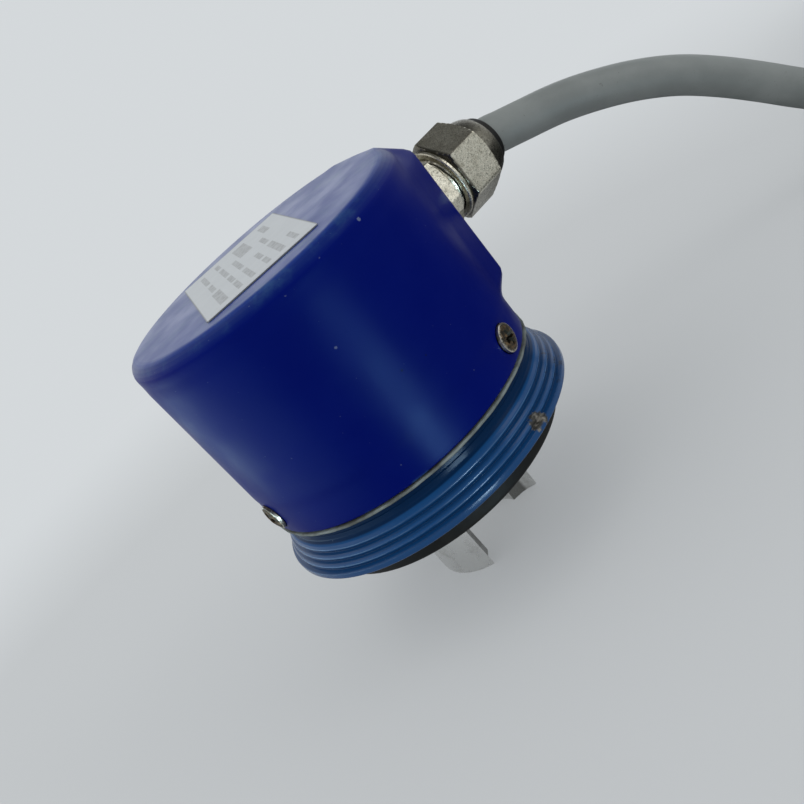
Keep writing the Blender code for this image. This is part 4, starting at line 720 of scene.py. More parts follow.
def flange_paint(name, gloss):
    """Steel-blue enamel on turned aluminium, with painted shade in the neck and the grooves and a painted
    highlight on the crests, chipped and worn at the rim.
    """
    paint = Finish(name, 0.2, specular=gloss)
    height = paint.height()
    paint.tones(paint.noise(70.0, 3.0), *FLANGE_BLUE_TONES)
    # painted shade: the neck under the cap is darkened
    paint.coat(paint.band(height, FLANGE_NECK_MM, 0.8), FLANGE_PAINTED_SHADE)
    above_groove = paint.math("SUBTRACT", height, FLANGE_GROOVE)
    from_groove = paint.math("PINGPONG", above_groove, 0.5 * FLANGE_PITCH)
    ridged = paint.band(height, FLANGE_RIDGES_MM)
    # painted shade: dark lines in the grooves between the ridges
    paint.coat(paint.both(paint.ramp(from_groove, *FLANGE_GROOVE_EDGE, 0.4, 0.0), ridged), FLANGE_PAINTED_SHADE)
    # painted highlight: light lines on the crests, broken up by noise
    crests = paint.both(paint.ramp(from_groove, *FLANGE_CREST_EDGE), ridged)
    wear_and_highlight = paint.ramp(paint.noise(180.0, 3.0), 0.36, 0.6, 0.1, 0.75)
    paint.coat(paint.both(crests, wear_and_highlight), FLANGE_CREST_HIGHLIGHT)
    grit = paint.ramp(paint.noise(900.0, 3.0, 0.7), 0.54, 0.62, 0.0, 0.75)
    paint.coat(paint.both(paint.spots(FLANGE_WEAR_MM), grit), FLANGE_SPECK)
    paint.coat(paint.ramp(paint.noise(650.0, 2.0), 0.74, 0.79, 0.0, 0.3), FLANGE_PALE_SPECK)
    chips = paint.spots(FLANGE_CHIPS_MM, 0.9)
    streaks = paint.ramp(paint.noise(800.0, 4.0, 0.65), 0.46, 0.66)
    paint.coat(chips, paint.blend(streaks, *FLANGE_CHIP_TONES))
    paint.roughen(chips, 0.2, 0.6)
    paint.bump(paint.math("SUBTRACT", paint.both(paint.noise(900.0, 2.0), 0.3), chips), 0.35, 0.06)
    return paint.material


def black_rubber():
    """Matt black rubber with a dusty bloom."""
    rubber = Finish("black_rubber", 0.62, specular=0.15)
    bloom = rubber.ramp(rubber.noise(160.0, 5.0, 0.65), 0.42, 0.75)
    rubber.tones(bloom, *RUBBER_TONES)
    rubber.roughen(bloom, 0.52, 0.78)
    rubber.bump(rubber.noise(1800.0, 3.0), 0.25, 0.04)
    return rubber.material


def gasket_sheet():
    """Grey-green fibre sheet, browned in places."""
    sheet = Finish("gasket_sheet", 0.75, specular=0.3)
    fibres = sheet.noise(900.0, 4.0, 0.7, sheet.stretched((1.0, 1.0, 4.0)))
    sheet.tones(fibres, *GASKET_TONES)
    sheet.coat(sheet.ramp(sheet.noise(150.0, 4.0), 0.42, 0.62, 0.0, 0.8), GASKET_BROWN)
    sheet.bump(fibres, 0.4, 0.08)
    return sheet.material


def bare_aluminium():
    """Bright turned aluminium with fine tool rings, dull spots and painted shade on the hub near its bore and
    in the jaws' hollowed flanks.
    """
    metal = Finish("bare_aluminium", 0.4, metallic=1.0)
    dull = metal.ramp(metal.noise(260.0, 4.0, 0.6), 0.45, 0.7)
    metal.tones(dull, *ALUMINIUM_TONES)
    # painted shade: darker between these distances from the axis
    metal.coat(metal.band(metal.from_axis(), HUB_PAINTED_SHADE_MM, 0.75), ALUMINIUM_PAINTED_SHADE)
    metal.roughen(dull, 0.26, 0.42)
    metal.bump(metal.noise(1.0, 2.0, where=metal.stretched((12.0, 12.0, 5200.0))), 0.18, 0.02)
    return metal.material


def steel():
    """Bright steel with a thin brown bloom."""
    metal = Finish("steel", 0.3, metallic=1.0)
    bloom = metal.ramp(metal.noise(900.0, 4.0, 0.7), 0.5, 0.68)
    metal.tones(bloom, *STEEL_TONES)
    metal.roughen(bloom, 0.26, 0.5)
    metal.bump(metal.noise(2600.0, 3.0), 0.25, 0.03)
    return metal.material


def screw_steel():
    """Weathered screw heads: pale at the rim, rusted brown towards the recess, with painted shade in the
    recess.
    """
    metal = Finish("screw_steel", 0.4, metallic=1.0)
    radius = metal.from_axis()
    grain = metal.noise(1700.0, 4.0, 0.7)
    ragged_radius = metal.math("ADD", radius, metal.both(grain, SCREW_RUST_RAGGED))
    centre = metal.ramp(ragged_radius, *SCREW_RUST_EDGE, 1.0, 0.0)
    fall = metal.both(metal.both(radius, radius), SCREW_DOME / SCREW_HEAD**2)
    depth = metal.math("SUBTRACT", metal.math("SUBTRACT", SCREW_DOME, fall), metal.height())
    near = metal.ramp(radius, *SCREW_RECESS_EDGE, 1.0, 0.0)
    # painted shade: near black deep in the cross recess
    recess_shade = metal.both(metal.ramp(depth, *SCREW_RECESS_DEPTH), near)
    patches = metal.ramp(metal.noise(420.0, 3.0), 0.5, 0.6, 0.0, 0.85)
    rust = metal.both(metal.either(centre, recess_shade, patches), 0.95)
    brown = metal.blend(metal.ramp(grain, 0.42, 0.64), *SCREW_RUST_TONES)
    metal.tones(grain, *SCREW_TONES)
    metal.coat(rust, metal.blend(recess_shade, brown, SCREW_RECESS_SHADE))
    metal.roughen(rust, 0.3, 0.65)
    metal.bump(grain, 0.5, 0.08)
    return metal.material


def nickel_plate():
    """Dulled nickel plating: pitted, speckled and browner where it is worn, with painted shade on the nut's
    dome, at its foot and along the gland's underside.
    """
    metal = Finish("nickel_plate", 0.3, metallic=1.0)
    pits = metal.noise(1900.0, 4.0, 0.72)
    metal.tones(metal.ramp(metal.noise(330.0, 4.0, 0.6), 0.38, 0.68), *NICKEL_TONES)
    metal.coat(metal.ramp(pits, 0.52, 0.64, 0.0, 0.8), NICKEL_PITS)
    metal.coat(metal.ramp(metal.noise(4200.0, 3.0, 0.8), 0.46, 0.60, 0.0, 0.5), NICKEL_ETCHED)
    outward = metal.split(metal.where)[0]
    dome = metal.ramp(outward, NUT_DOME_START, NUT_DOME_START + NUT_DOME_SHADE, 0.0, 0.78)
    underside = [GLAND_HEIGHT - drop for drop in GLAND_UNDERSIDE]
    under = metal.ramp(metal.height(), *underside, 0.6, 0.0)
    foot = metal.band(outward, NUT_FOOT_MM, 0.85)
    # painted shade: the dome as a dark reflection, the underside and the foot as shade
    metal.coat(metal.either(dome, under, foot), NICKEL_PAINTED_SHADE)
    metal.set("Roughness", metal.ramp(pits, 0.35, 0.65, 0.24, 0.44))
    metal.bump(pits, 0.4, 0.07)
    return metal.material


def grained(name, roughness, tones, scale, strength, depth_mm, rough=0.5):
    """A plastic with one fine grain in its colour and its surface."""
    plastic = Finish(name, roughness)
    grain = plastic.noise(scale, 3.0, rough)
    plastic.tones(grain, *tones)
    plastic.bump(grain, strength, depth_mm)
    return plastic.material


def cage_polymer():
    return grained("cage_polymer", 0.5, CAGE_TONES, 1200.0, 0.2, 0.03, 0.6)


def dark_plastic():
    return grained("dark_plastic", 0.5, PLASTIC_TONES, 2200.0, 0.3, 0.04)


def lead_insulation(name, colour):
    paler = tuple(min(1.0, 1.25 * value + 0.01) for value in colour)
    return grained(name, 0.45, (colour, paler), 700.0, 0.15, 0.03)


def board_laminate():
    """Green laminate with darker copper areas under the lacquer."""
    board = Finish("board_laminate", 0.35)
    cells = board.add("TexVoronoi", {"Vector": board.where, "Scale": 260.0})
    cells.distance = "CHEBYCHEV"
    copper = board.ramp(cells.outputs["Distance"], 0.3, 0.34)
    board.tones(copper, *BOARD_TONES)
    board.bump(copper, 0.3, 0.05)
    return board.material


def clear_glass():
    """Clear glass with a ring of fine dark code lines near its edge."""
    glass = Finish("clear_glass", 0.06)
    glass.set("Transmission Weight", 0.9)
    x, y = glass.split(glass.where)[:2]
    wave = glass.math("SINE", glass.both(glass.math("ARCTAN2", y, x), CODE_LINES))
    lines = glass.both(glass.band(glass.from_axis(), CODE_RING_MM), glass.ramp(wave, -0.1, 0.1))
    glass.tones(lines, *GLASS_TONES)
    return glass.material


def label_foil():
    """Pale foil with grey bars for print, darker along its edge."""
    foil = Finish("label_foil", 0.42)
    foil.tones(foil.noise(260.0, 4.0), *LABEL_TONES)
    bars = []
    for along, across, half_length, half_height in scaled(LABEL_BARS_MM):
        past_bar = foil.past_box((along, across), (half_length, half_height))
        bars.append(foil.ramp(past_bar, *LABEL_INK_EDGE, 1.0, 0.0))
    worn = foil.ramp(foil.noise(1100.0, 3.0, 0.6), 0.40, 0.62, 0.5, 0.95)
    foil.coat(foil.both(foil.either(*bars), worn), LABEL_INK)
    past_label = foil.past_box((0.0, 0.0), (0.5 * LABEL_LENGTH, 0.5 * LABEL_WIDTH))
    # darker along the label's edge
    foil.coat(foil.ramp(past_label, *LABEL_DARK_EDGE_SPAN, 0.0, 0.8), LABEL_DARK_EDGE)
    foil.bump(foil.noise(420.0, 3.0), 0.1, 0.05)
    return foil.material


def cable_sheath():
    """Matt grey sheath, handled and a little dusty."""
    sheath = Finish("cable_sheath", 0.52, specular=0.4)
    handled = sheath.ramp(sheath.noise(90.0, 5.0, 0.6), 0.35, 0.7)
    sheath.tones(handled, *SHEATH_TONES)
    sheath.coat(sheath.ramp(sheath.noise(1500.0, 2.0), 0.70, 0.76, 0.0, 0.5), SHEATH_SPECK)
    sheath.roughen(handled, 0.46, 0.62)
    sheath.bump(sheath.noise(1300.0, 3.0), 0.18, 0.05)
    return sheath.material


def bare_copper():
    """Tinned copper strands, twisted."""
    metal = Finish("bare_copper", 0.34, metallic=1.0)
    strands = metal.noise(1.0, 2.0, where=metal.stretched((300.0, 2600.0, 2600.0), (0.0, 0.3, 0.4)))
    metal.tones(strands, *COPPER_TONES)
    metal.bump(strands, 0.6, 0.1)
    return metal.material


def make_finishes():
    """The finish of each material slot in the record."""
    finishes = {
        "cap_paint": cap_paint("cap_paint", CAP_SIDE_GLOSS),
        "flange_paint": flange_paint("flange_paint", FLANGE_GLOSS),
        "lead_insulation": lead_insulation("lead_insulation", LEAD_COLOURS[0]),
    }
    named_after_slot = (
        black_rubber, gasket_sheet, bare_aluminium, steel, nickel_plate, cage_polymer,
        board_laminate, dark_plastic, clear_glass, label_foil, cable_sheath,
    )
    for make in named_after_slot:
        finishes[make.__name__] = make()
    return finishes


FINISHES = make_finishes()


def finish_nodes():
    """Give every node of the model its finish. The ones that a finer piece replaces stay hidden."""
    for part in frame["record"]["subparts"]:
        node = frame["nodes"][part["node"]]
        for slot in node.material_slots:
            slot.material = FINISHES[part["material_slot"]]


def add_piece(name, shape, slot, node):
    """A piece in its slot's finish that stands for a node of the model's housing."""
    return settle(add_mesh(name, shape, FINISHES[slot]), slot, node)


# Cap


def pad_scale(height):
    """How much of the gland pad's outline stands out at a height: its foot and top slope back."""
    rise = (1.0 - PAD_END_SCALE) / PAD_SLOPE
    foot = PAD_END_SCALE + rise * (height - PAD_FOOT)
    top = 1.0 - rise * (height - PAD_TOP)
    return soft_min(soft_min(foot, top, PAD_SOFT_SLOPE), 1.0, PAD_SOFT_SLOPE)


def pad_reach(angle):
    """The pad's outline: a flat face and two sides that run off tangent to the cap."""
    corner = math.atan2(PAD_HALF_WIDTH, PAD_FACE)
    tangent_radius = CAP_RADIUS - PAD_SINK
    tangent = corner + math.acos(tangent_radius / math.hypot(PAD_FACE, PAD_HALF_WIDTH))
    turn = abs(angle)
    if turn >= tangent:
        return tangent_radius
    face = PAD_FACE / math.cos(turn)
    side = tangent_radius / math.cos(turn - tangent)
    return soft_min(face, side, PAD_SOFT_CORNER)


def cap_angles():
    """Directions round the cap, closer together where the pad is."""
    near = stations(-CAP_FINE_SPAN, CAP_FINE_SPAN, CAP_FINE_ANGLE)
    far = stations(CAP_FINE_SPAN, TURN - CAP_FINE_SPAN, CAP_COARSE_ANGLE)
    return near + far[1:-1]


def cap_outlines():
    """The cap's outer and inner outlines as (radius, height) points."""
    inner = CAP_RADIUS - CAP_WALL
    ceiling = CAP_TOP - CAP_WALL
    outer = filleted(
        [
            (inner, CAP_BOTTOM, 0.0),
            (CAP_RADIUS, CAP_BOTTOM, CAP_LIP_ROUND),
            (CAP_RADIUS, CAP_TOP, CAP_TOP_ROUND),
            (0.0, CAP_TOP, 0.0),
        ]
    )
    lip = 2 + FILLET_STEPS
    wall = stations(outer[lip - 1].y, outer[lip].y, CAP_STEP)[1:-1]
    outside = outer[:lip] + [Vector((CAP_RADIUS, z)) for z in wall] + outer[lip:]
    inside = filleted([(0.0, ceiling, 0.0), (inner, ceiling, CAP_INNER_ROUND), (inner, CAP_BOTTOM, 0.0)])
    return outside, inside[:-1]


def cap_skin():
    """The cap's shell, with the pad standing out of its outside."""
    outside, inside = cap_outlines()
    on_wall = CAP_RADIUS - CAP_WALL + WELD
    loops = []
    for angle in cap_angles():
        pad = pad_reach(angle)
        loop = []
        for r, z in outside:
            reach = soft_max(r, pad * pad_scale(z), PAD_SOFT_EDGE) if r > on_wall else r
            loop.append(polar(angle, reach, z))
        loops.append(loop + upright(angle, inside))
    return bridged(loops)


def screw_places(radius):
    """Where the cap screws are, as frames whose Z axes point outward."""
    return [radial(angle, radius, SCREW_HEIGHT) for angle in spaced(SCREW_COUNT, SCREW_FIRST)]


def screw_outline(clearance):
    """Half of the screw below its head's edge, which is at height 0."""
    head = SCREW_HEAD + clearance
    shank = SCREW_SHANK + clearance
    cone_end = -SCREW_EDGE - SCREW_CONE
    return [(head, -SCREW_EDGE), (shank, cone_end), (shank, -SCREW_LENGTH), (0.0, -SCREW_LENGTH)]


def countersink():
    """The hole for a cap screw, with a flared mouth."""
    mouth = SCREW_HEAD + SCREW_GAP + SCREW_MOUTH
    flare = [(0.0, OVERCUT), (mouth, OVERCUT), (mouth, SCREW_MOUTH_END)]
    return turned(flare + screw_outline(SCREW_GAP), SMALL_SIDES)


def gloss_step(height):
    """Which of the cap's paints is at a height: the flat top's gloss fades over the round edge."""
    drop = min(max((CAP_TOP - height) / CAP_TOP_ROUND, 0.0), 1.0)
    tilt = math.acos(1.0 - drop) / (0.5 * math.pi)
    return math.ceil(tilt * FILLET_STEPS - CAP_GLOSS_SLACK)


def make_cap():
    """The cap, with the flat top glossier than the side."""
    cap = add_mesh("cap_look", cap_skin(), FINISHES["cap_paint"])
    gland_hole = drill(GLAND_THREAD + HOLE_GAP, CAP_RADIUS - 2.0 * CAP_WALL, PAD_FACE + OVERCUT)
    screw_holes = [moved(countersink(), place) for place in screw_places(CAP_RADIUS)]
    cut(cap, [moved(gland_hole, gland_axis()), *screw_holes])
    cap.data.materials.clear()
    for k in range(FILLET_STEPS):
        gloss = CAP_TOP_GLOSS * (CAP_SIDE_GLOSS / CAP_TOP_GLOSS) ** (k / FILLET_STEPS)
        cap.data.materials.append(cap_paint(f"cap_edge_paint_{k + 1}", gloss))
    cap.data.materials.append(FINISHES["cap_paint"])
    for face in cap.data.polygons:
        face.material_index = gloss_step(face.center.z)
    settle(cap, "cap_paint", "cap_cover")


def cross_loop(size, height):
    """A cross outline: arms of a half length and half width, as in a driver recess."""
    reach, half = size
    quarter = [(reach, -half), (reach, half), (half, half)]
    points = []
    for angle in spaced(4):
        turn = Matrix.Rotation(angle, 2)
        points += [Vector((*(turn @ Vector(point)), height)) for point in quarter]
    return points


def make_cap_screws():
    steps = [k / FILLET_STEPS for k in range(FILLET_STEPS + 1)]
    dome = [(SCREW_HEAD * t, SCREW_DOME * (1.0 - t * t)) for t in steps]
    ends = ((CROSS_FLOOR, SCREW_DOME - CROSS_DEPTH), (CROSS_TOP, SCREW_DOME + CROSS_RISE))
    metal = screw_steel()
    for i, place in enumerate(screw_places(CAP_RADIUS + SCREW_LIFT)):
        shape = turned(dome + screw_outline(0.0), SMALL_SIDES)
        screw = add_mesh(f"cap_screw_look_{i + 1}", shape, metal)
        cut(screw, [bridged([cross_loop(size, height) for size, height in ends], around=False)])
        screw.matrix_world = place
        settle(screw, "steel", f"cap_screw_{i + 1}")


def make_gasket():
    """The gasket's edge stands out a little unevenly, as a cut sheet does."""
    outline = filleted(scaled(GASKET_OUTLINE))
    loops = []
    for angle in spaced(WIDE_SIDES):
        wave = GASKET_WAVE * sum(math.sin(count * angle + shift) for count, shift in GASKET_WAVES)
        loops.append([polar(angle, r + wave * (r > CAP_RADIUS - MM), z) for r, z in outline])
    add_piece("cap_gasket_look", bridged(loops), "gasket_sheet", "cap_gasket")


def make_label():
    signs = ((1, 1), (-1, 1), (-1, -1), (1, -1))
    outline = filleted([(0.5 * x * LABEL_LENGTH, 0.5 * y * LABEL_WIDTH, LABEL_CORNER) for x, y in signs])
    loops = [[Vector((p.x, p.y, z)) for p in outline] for z in (0.0, LABEL_THICKNESS)]
    label = add_mesh("name_label_look", bridged(loops, around=False), FINISHES["label_foil"])
    centre = 0.5 * (LABEL_LOW + LABEL_HIGH)
    label.location = (centre.x, centre.y, CAP_TOP + LABEL_LIFT)
    label.rotation_euler = (0.0, 0.0, LABEL_ANGLE)
    settle(label, "label_foil", "name_label")


# Flange and its seal


def flange_outline():
    """The neck, the ridges with a ledge, a crown and a groove each, then the rim and the bore."""
    corners = list(FLANGE_NECK)
    for edge, top in RIDGE_EDGES:
        ridge = (
            (edge - RIDGE_LEDGE, top),
            (edge, top - RIDGE_CROWN),
            (edge - RIDGE_GROOVE, top - RIDGE_DROP),
        )
        corners += [(*corner, rounding) for corner, rounding in zip(ridge, RIDGE_ROUNDS)]
    return filleted(scaled(corners + list(FLANGE_RIM) + list(FLANGE_BORE)))


def make_flange():
    """The flange, duller in its neck than on the ridges."""
    shape = turned(flange_outline(), WIDE_SIDES)
    flange = add_mesh("flange_look", shape, FINISHES["flange_paint"])
    hole = (SCREW_SHANK + HOLE_GAP, -FLANGE_HOLE_DEPTH, 0.0)
    cut(flange, [moved(drill(*hole), place) for place in screw_places(CAP_RADIUS)])
    flange.data.materials.append(flange_paint("flange_neck_paint", FLANGE_NECK_GLOSS))
    low, high = NECK_FACES_MM
    for face in flange.data.polygons:
        face.material_index = int(low * MM < face.center.z < high * MM)
    settle(flange, "flange_paint", "flange")


def make_face_ring():
    shape = turned(filleted(scaled(FACE_RING_OUTLINE)), WIDE_SIDES)
    add_piece("face_seal_ring_look", shape, "black_rubber", "face_seal_ring")


# Gland


def gland_axis():
    """The gland's pieces are drawn along Z and turned onto the pad, with angle 0 pointing down."""
    return radial(0.0, 0.0, GLAND_HEIGHT)


def hexagon_reach(angle, across_flats, turn):
    """A hexagon's outline with softly rounded corners, one of them at the turn angle."""
    apothem = 0.5 * across_flats
    from_flat = (angle - turn) % (TURN / 6.0) - TURN / 12.0
    flat = apothem / math.cos(from_flat)
    next_flat = apothem / math.cos(TURN / 6.0 - abs(from_flat))
    return soft_min(flat, next_flat, HEX_SOFT_CORNER)


def chamfered(height, low, high, corner, flat, length):
    """The turned envelope that takes a hexagon's corners off at both ends."""
    slope = (corner - flat) / length
    return min(flat + slope * (height - low), flat + slope * (high - height), corner)


def make_gland_body():
    """The body: a hexagon against the pad, with a thread on its neck that the nut covers in part."""
    corner = GLAND_HEX / math.sqrt(3.0) + HEX_SOFT_CHAMFER
    flat = 0.5 * GLAND_HEX - GLAND_FACE_INSET
    hex_stations = stations(GLAND_SEAT, GLAND_HEX_END, GLAND_STEP)
    neck_stations = stations(GLAND_HEX_END, BODY_HIGH.x, GLAND_STEP)
    loops = []
    for angle in spaced(HEX_SIDES):
        loop = [polar(angle, GLAND_THREAD, z) for z in (BODY_LOW.x, GLAND_SEAT)]
        hexagon = hexagon_reach(angle, GLAND_HEX, GLAND_HEX_TURN)
        for z in hex_stations:
            envelope = chamfered(z, GLAND_SEAT, GLAND_HEX_END, corner, flat, GLAND_CHAMFER)
            loop.append(polar(angle, soft_min(hexagon, envelope, HEX_SOFT_CHAMFER), z))
        for z in neck_stations:
            phase = (z / THREAD_PITCH - angle / TURN) % 1.0
            loop.append(polar(angle, GLAND_NECK - THREAD_DEPTH * abs(2.0 * phase - 1.0), z))
        loop += [polar(angle, GLAND_BORE, z) for z in (BODY_HIGH.x, BODY_LOW.x)]
        loops.append(loop)
    shape = moved(bridged(loops), gland_axis())
    return add_piece("gland_body_look", shape, "nickel_plate", "gland_body")


def nut_envelope(height):
    """The nut's turned shape: a chamfer above the collar, room for the hexagon, and a rounded dome."""
    corner = NUT_HEX / math.sqrt(3.0) + HEX_SOFT_CHAMFER
    flat = 0.5 * NUT_HEX
    if height > NUT_DOME_START:
        t = (height - NUT_DOME_START) / (NUT_HIGH.x - NUT_DOME_START)
        base = flat - NUT_DOME_STEP
        return base - (base - NUT_DOME_RADIUS) * (NUT_DOME_STRAIGHT * t + (1.0 - NUT_DOME_STRAIGHT) * t**3)
    return chamfered(height, NUT_COLLAR_END, NUT_DOME_START, corner, flat, NUT_CHAMFER)


def make_gland_nut():
    """The nut: a round collar, a hexagon and a dome, with a stepped bore."""
    groove_depth, groove_length = COLLAR_GROOVE
    collar_end = NUT_COLLAR_END - COLLAR_GAP
    collar = (
        (NUT_COLLAR_RADIUS - COLLAR_CHAMFER, NUT_LOW.x),
        (NUT_COLLAR_RADIUS, NUT_LOW.x + COLLAR_CHAMFER),
        (NUT_COLLAR_RADIUS, collar_end - groove_length),
        (NUT_COLLAR_RADIUS - groove_depth, collar_end),
    )
    bore = (
        (NUT_HOLE, NUT_HIGH.x),
        (NUT_HOLE, NUT_HOLE_START),
        (NUT_BORE, NUT_BORE_END),
        (NUT_BORE, NUT_LOW.x),
    )
    hex_stations = stations(NUT_COLLAR_END, NUT_HIGH.x, GLAND_STEP)
    loops = []
    for angle in spaced(HEX_SIDES):
        loop = upright(angle, collar)
        hexagon = hexagon_reach(angle, NUT_HEX, NUT_TURN)
        for z in hex_stations:
            loop.append(polar(angle, soft_min(hexagon, nut_envelope(z), HEX_SOFT_CHAMFER), z))
        loops.append(loop + upright(angle, bore))
    shape = moved(bridged(loops), gland_axis())
    return add_piece("gland_nut_look", shape, "nickel_plate", "gland_nut")


def make_gland_seal():
    shape = moved(turned(filleted(scaled(SEAL_OUTLINE)), RING_SIDES), gland_axis())
    return add_piece("gland_seal_look", shape, "black_rubber", "gland_seal")


# Coupling hub


def jaw_flank(radius):
    """The angle by which a jaw's flank is hollowed at a radius, for the round lobe of a rubber spider."""
    t = min(max((radius - JAW_HOLLOW_RADIUS) / (HUB_RADIUS - JAW_HOLLOW_RADIUS), 0.0), 1.0)
    return JAW_HOLLOW * (1.0 - t * t) / radius


def make_hub():
    """The hub: two jaws with hollowed flanks are left between the gaps."""
    shape = turned(filleted(scaled(HUB_OUTLINE)), RING_SIDES)
    hub = add_mesh("coupling_hub_look", shape, FINISHES["bare_aluminium"])
    half = 0.5 * (TURN / JAW_COUNT - JAW_WIDTH)
    reach = 2.0 * HUB_RADIUS
    flank = stations(JAW_INNER, HUB_RADIUS, JAW_FLANK_STEP)
    gaps = []
    for angle in spaced(JAW_COUNT, JAW_CENTRE + math.pi / JAW_COUNT):
        wedge = [polar(angle - half - jaw_flank(r), r, 0.0) for r in flank]
        wedge += [polar(turn, reach, 0.0) for turn in stations(angle - half, angle + half, JAW_GAP_ANGLE)]
        wedge += [polar(angle + half + jaw_flank(r), r, 0.0) for r in reversed(flank)]
        wedge.append(Vector((0.0, 0.0, 0.0)))
        loops = [[point + Vector((0.0, 0.0, z)) for point in wedge] for z in (-OVERCUT, JAW_HEIGHT)]
        gaps.append(bridged(loops, around=False))
    cut(hub, gaps)
    bevel(hub, JAW_BEVEL)
    settle(hub, "bare_aluminium", "coupling_hub", body="rotor")


# Cable


def curve_point(points, i, t):
    """A point of the Catmull-Rom curve in the stretch after point i."""
    last = len(points) - 1
    before = points[i - 1] if i > 0 else points[0] * 2.0 - points[1]
    after = points[i + 2] if i + 2 <= last else points[last] * 2.0 - points[last - 1]
    a, b = points[i], points[i + 1]
    slope = (b - before) * t + (before * 2.0 - a * 5.0 + b * 4.0 - after) * t**2
    return a + (slope + (a * 3.0 - before - b * 3.0 + after) * t**3) * 0.5


def route_points():
    """The free stretch: out of the gland, down to the floor and along the coil's tangent."""
    outward = polar(COIL_ENTRY, 1.0, 0.0)
    along = polar(COIL_ENTRY + 0.5 * math.pi, 1.0, 0.0)
    touch = COIL_CENTRE + outward * COIL_OUTER_TURN + Vector((0.0, 0.0, CABLE_RADIUS))
    route = [Vector(point) * MM for point in CABLE_INSIDE_MM + ROUTE_MM]
    route += [touch - along * COIL_RUN_IN, touch]
    points = []
    for i in range(len(route) - 1):
        points += [curve_point(route, i, k / ROUTE_SAMPLES) for k in range(ROUTE_SAMPLES)]
    return points


def length_of(points):
    return sum((b - a).length for a, b in zip(points, points[1:]))


def eased(t):
    """0 to 1 on two parabolas, the gentlest bend that shifts a strand sideways."""
    t = min(max(t, 0.0), 1.0)
    return 2.0 * t * t if t < 0.5 else 1.0 - 2.0 * (1.0 - t) ** 2


def coil_slots(tail_start):
    """Each turn's place in the coil's section, and the winding angles where the strand moves on."""
    places = []
    for k in range(COIL_LAYERS):
        sides = (COIL_OUTER_TURN, COIL_INNER_TURN) if k % 2 == 0 else (COIL_INNER_TURN, COIL_OUTER_TURN)
        places += [(radius, CABLE_RADIUS * (2 * k + 1)) for radius in sides]
    places.append((COIL_MIDDLE, COIL_ON_TOP))
    shifts = [(TURN - COIL_SHIFT) * (k + 1) for k in range(len(places) - 2)]
    shifts.append(tail_start - COIL_CLIMB_LEAD - COIL_SHIFT)
    return places, shifts


def coil_point(turned_by, places, shifts, tie_angle):
    """A point on the wound cable, by the angle from where it meets the coil."""
    radius, height = places[0]
    for (r, z), (next_r, next_z), shift in zip(places, places[1:], shifts):
        share = eased((turned_by - shift) / COIL_SHIFT)
        radius += (next_r - r) * share
        height += (next_z - z) * share
    height += tie_lift(turned_by - tie_angle)
    return COIL_CENTRE + polar(COIL_ENTRY + turned_by, radius, height)


def tie_lift(from_tie):
    """The strands rise a little near the tie, which passes under them."""
    apart = abs((from_tie + math.pi) % TURN - math.pi)
    return TIE_LIFT * eased(1.0 - apart / TIE_LIFT_SPAN)


def add_curve(name, points, radius, material, smoothness=CORD_SMOOTHNESS):
    data = bpy.data.curves.new(name, "CURVE")
    data.dimensions = "3D"
    data.bevel_depth = radius
    data.bevel_resolution = smoothness
    data.use_fill_caps = True
    line = data.splines.new("POLY")
    line.points.add(len(points) - 1)
    for target, point in zip(line.points, points):
        target.co = (*point, 1.0)
    line.use_smooth = True
    data.materials.append(material)
    return add_object(name, data)


def make_cable():
    """The whole cable as one curve, with its tie and its open end."""
    free = route_points()
    inside = (CABLE_INSIDE_MM[1][0] - CABLE_INSIDE_MM[0][0]) * MM
    wound = CABLE_LENGTH - (length_of(free) - inside) - TAIL_SWEEP * COIL_MIDDLE
    tail_start = wound / COIL_MIDDLE
    tail_end = tail_start + TAIL_SWEEP
    tie_angle = tail_start + TIE_AFTER_TAIL
    places, shifts = coil_slots(tail_start)
    winding = [coil_point(angle, places, shifts, tie_angle) for angle in stations(0.0, tail_end, COIL_STEP)]
    cable = add_curve("cable_look", free + winding, CABLE_RADIUS, FINISHES["cable_sheath"])
    settle(cable, "cable_sheath", "cable_tube", "cable_coil", "cable_tail")
    extras = make_tie(COIL_ENTRY + tie_angle) + make_leads(tail_end, tie_angle)


def tie_strap(half_width, height):
    """A flat strap round the coil's section, drawn in the XZ plane."""
    loops = []
    for reach, side in ((TIE_THICKNESS, -0.5), (TIE_THICKNESS, 0.5), (TIE_GAP, 0.5), (TIE_GAP, -0.5)):
        low, high = TIE_LIFT - reach, TIE_LIFT + height + reach
        near, far = COIL_MIDDLE - half_width - reach, COIL_MIDDLE + half_width + reach
        ends = ((near, low), (far, low), (far, high), (near, high))
        outline = filleted([(*end, CABLE_RADIUS + reach) for end in ends])
        loops.append([Vector((p.x, side * TIE_WIDTH, p.y)) for p in outline])
    return bridged(loops)


def make_tie(angle):
    """A strap round the coil's section, with its locking head outside and the trimmed end through it."""
    half_width = 2.0 * CABLE_RADIUS
    height = 2.0 * COIL_LAYERS * CABLE_RADIUS
    middle = Vector((COIL_MIDDLE + half_width + TIE_THICKNESS + TIE_HEAD_OUT, 0.0, TIE_LIFT + 0.5 * height))
    stub_middle = middle + Vector((0.0, 0.0, 0.5 * TIE_STUB.z))
    place = Matrix.Translation(COIL_CENTRE) @ Matrix.Rotation(angle, 4, "Z")
    plastic = FINISHES["dark_plastic"]
    pieces = [add_mesh("cable_tie_look", moved(tie_strap(half_width, height), place), plastic)]
    blocks = (("cable_tie_head", TIE_HEAD.zxy, middle), ("cable_tie_stub", TIE_STUB.yxz, stub_middle))
    for name, size, centre in blocks:
        piece = add_mesh(name, moved(block(size, centre), place), plastic)
        bevel(piece, TIE_BEVEL)
        pieces.append(piece)
    return [settle(piece, "dark_plastic", "cable_tie") for piece in pieces]


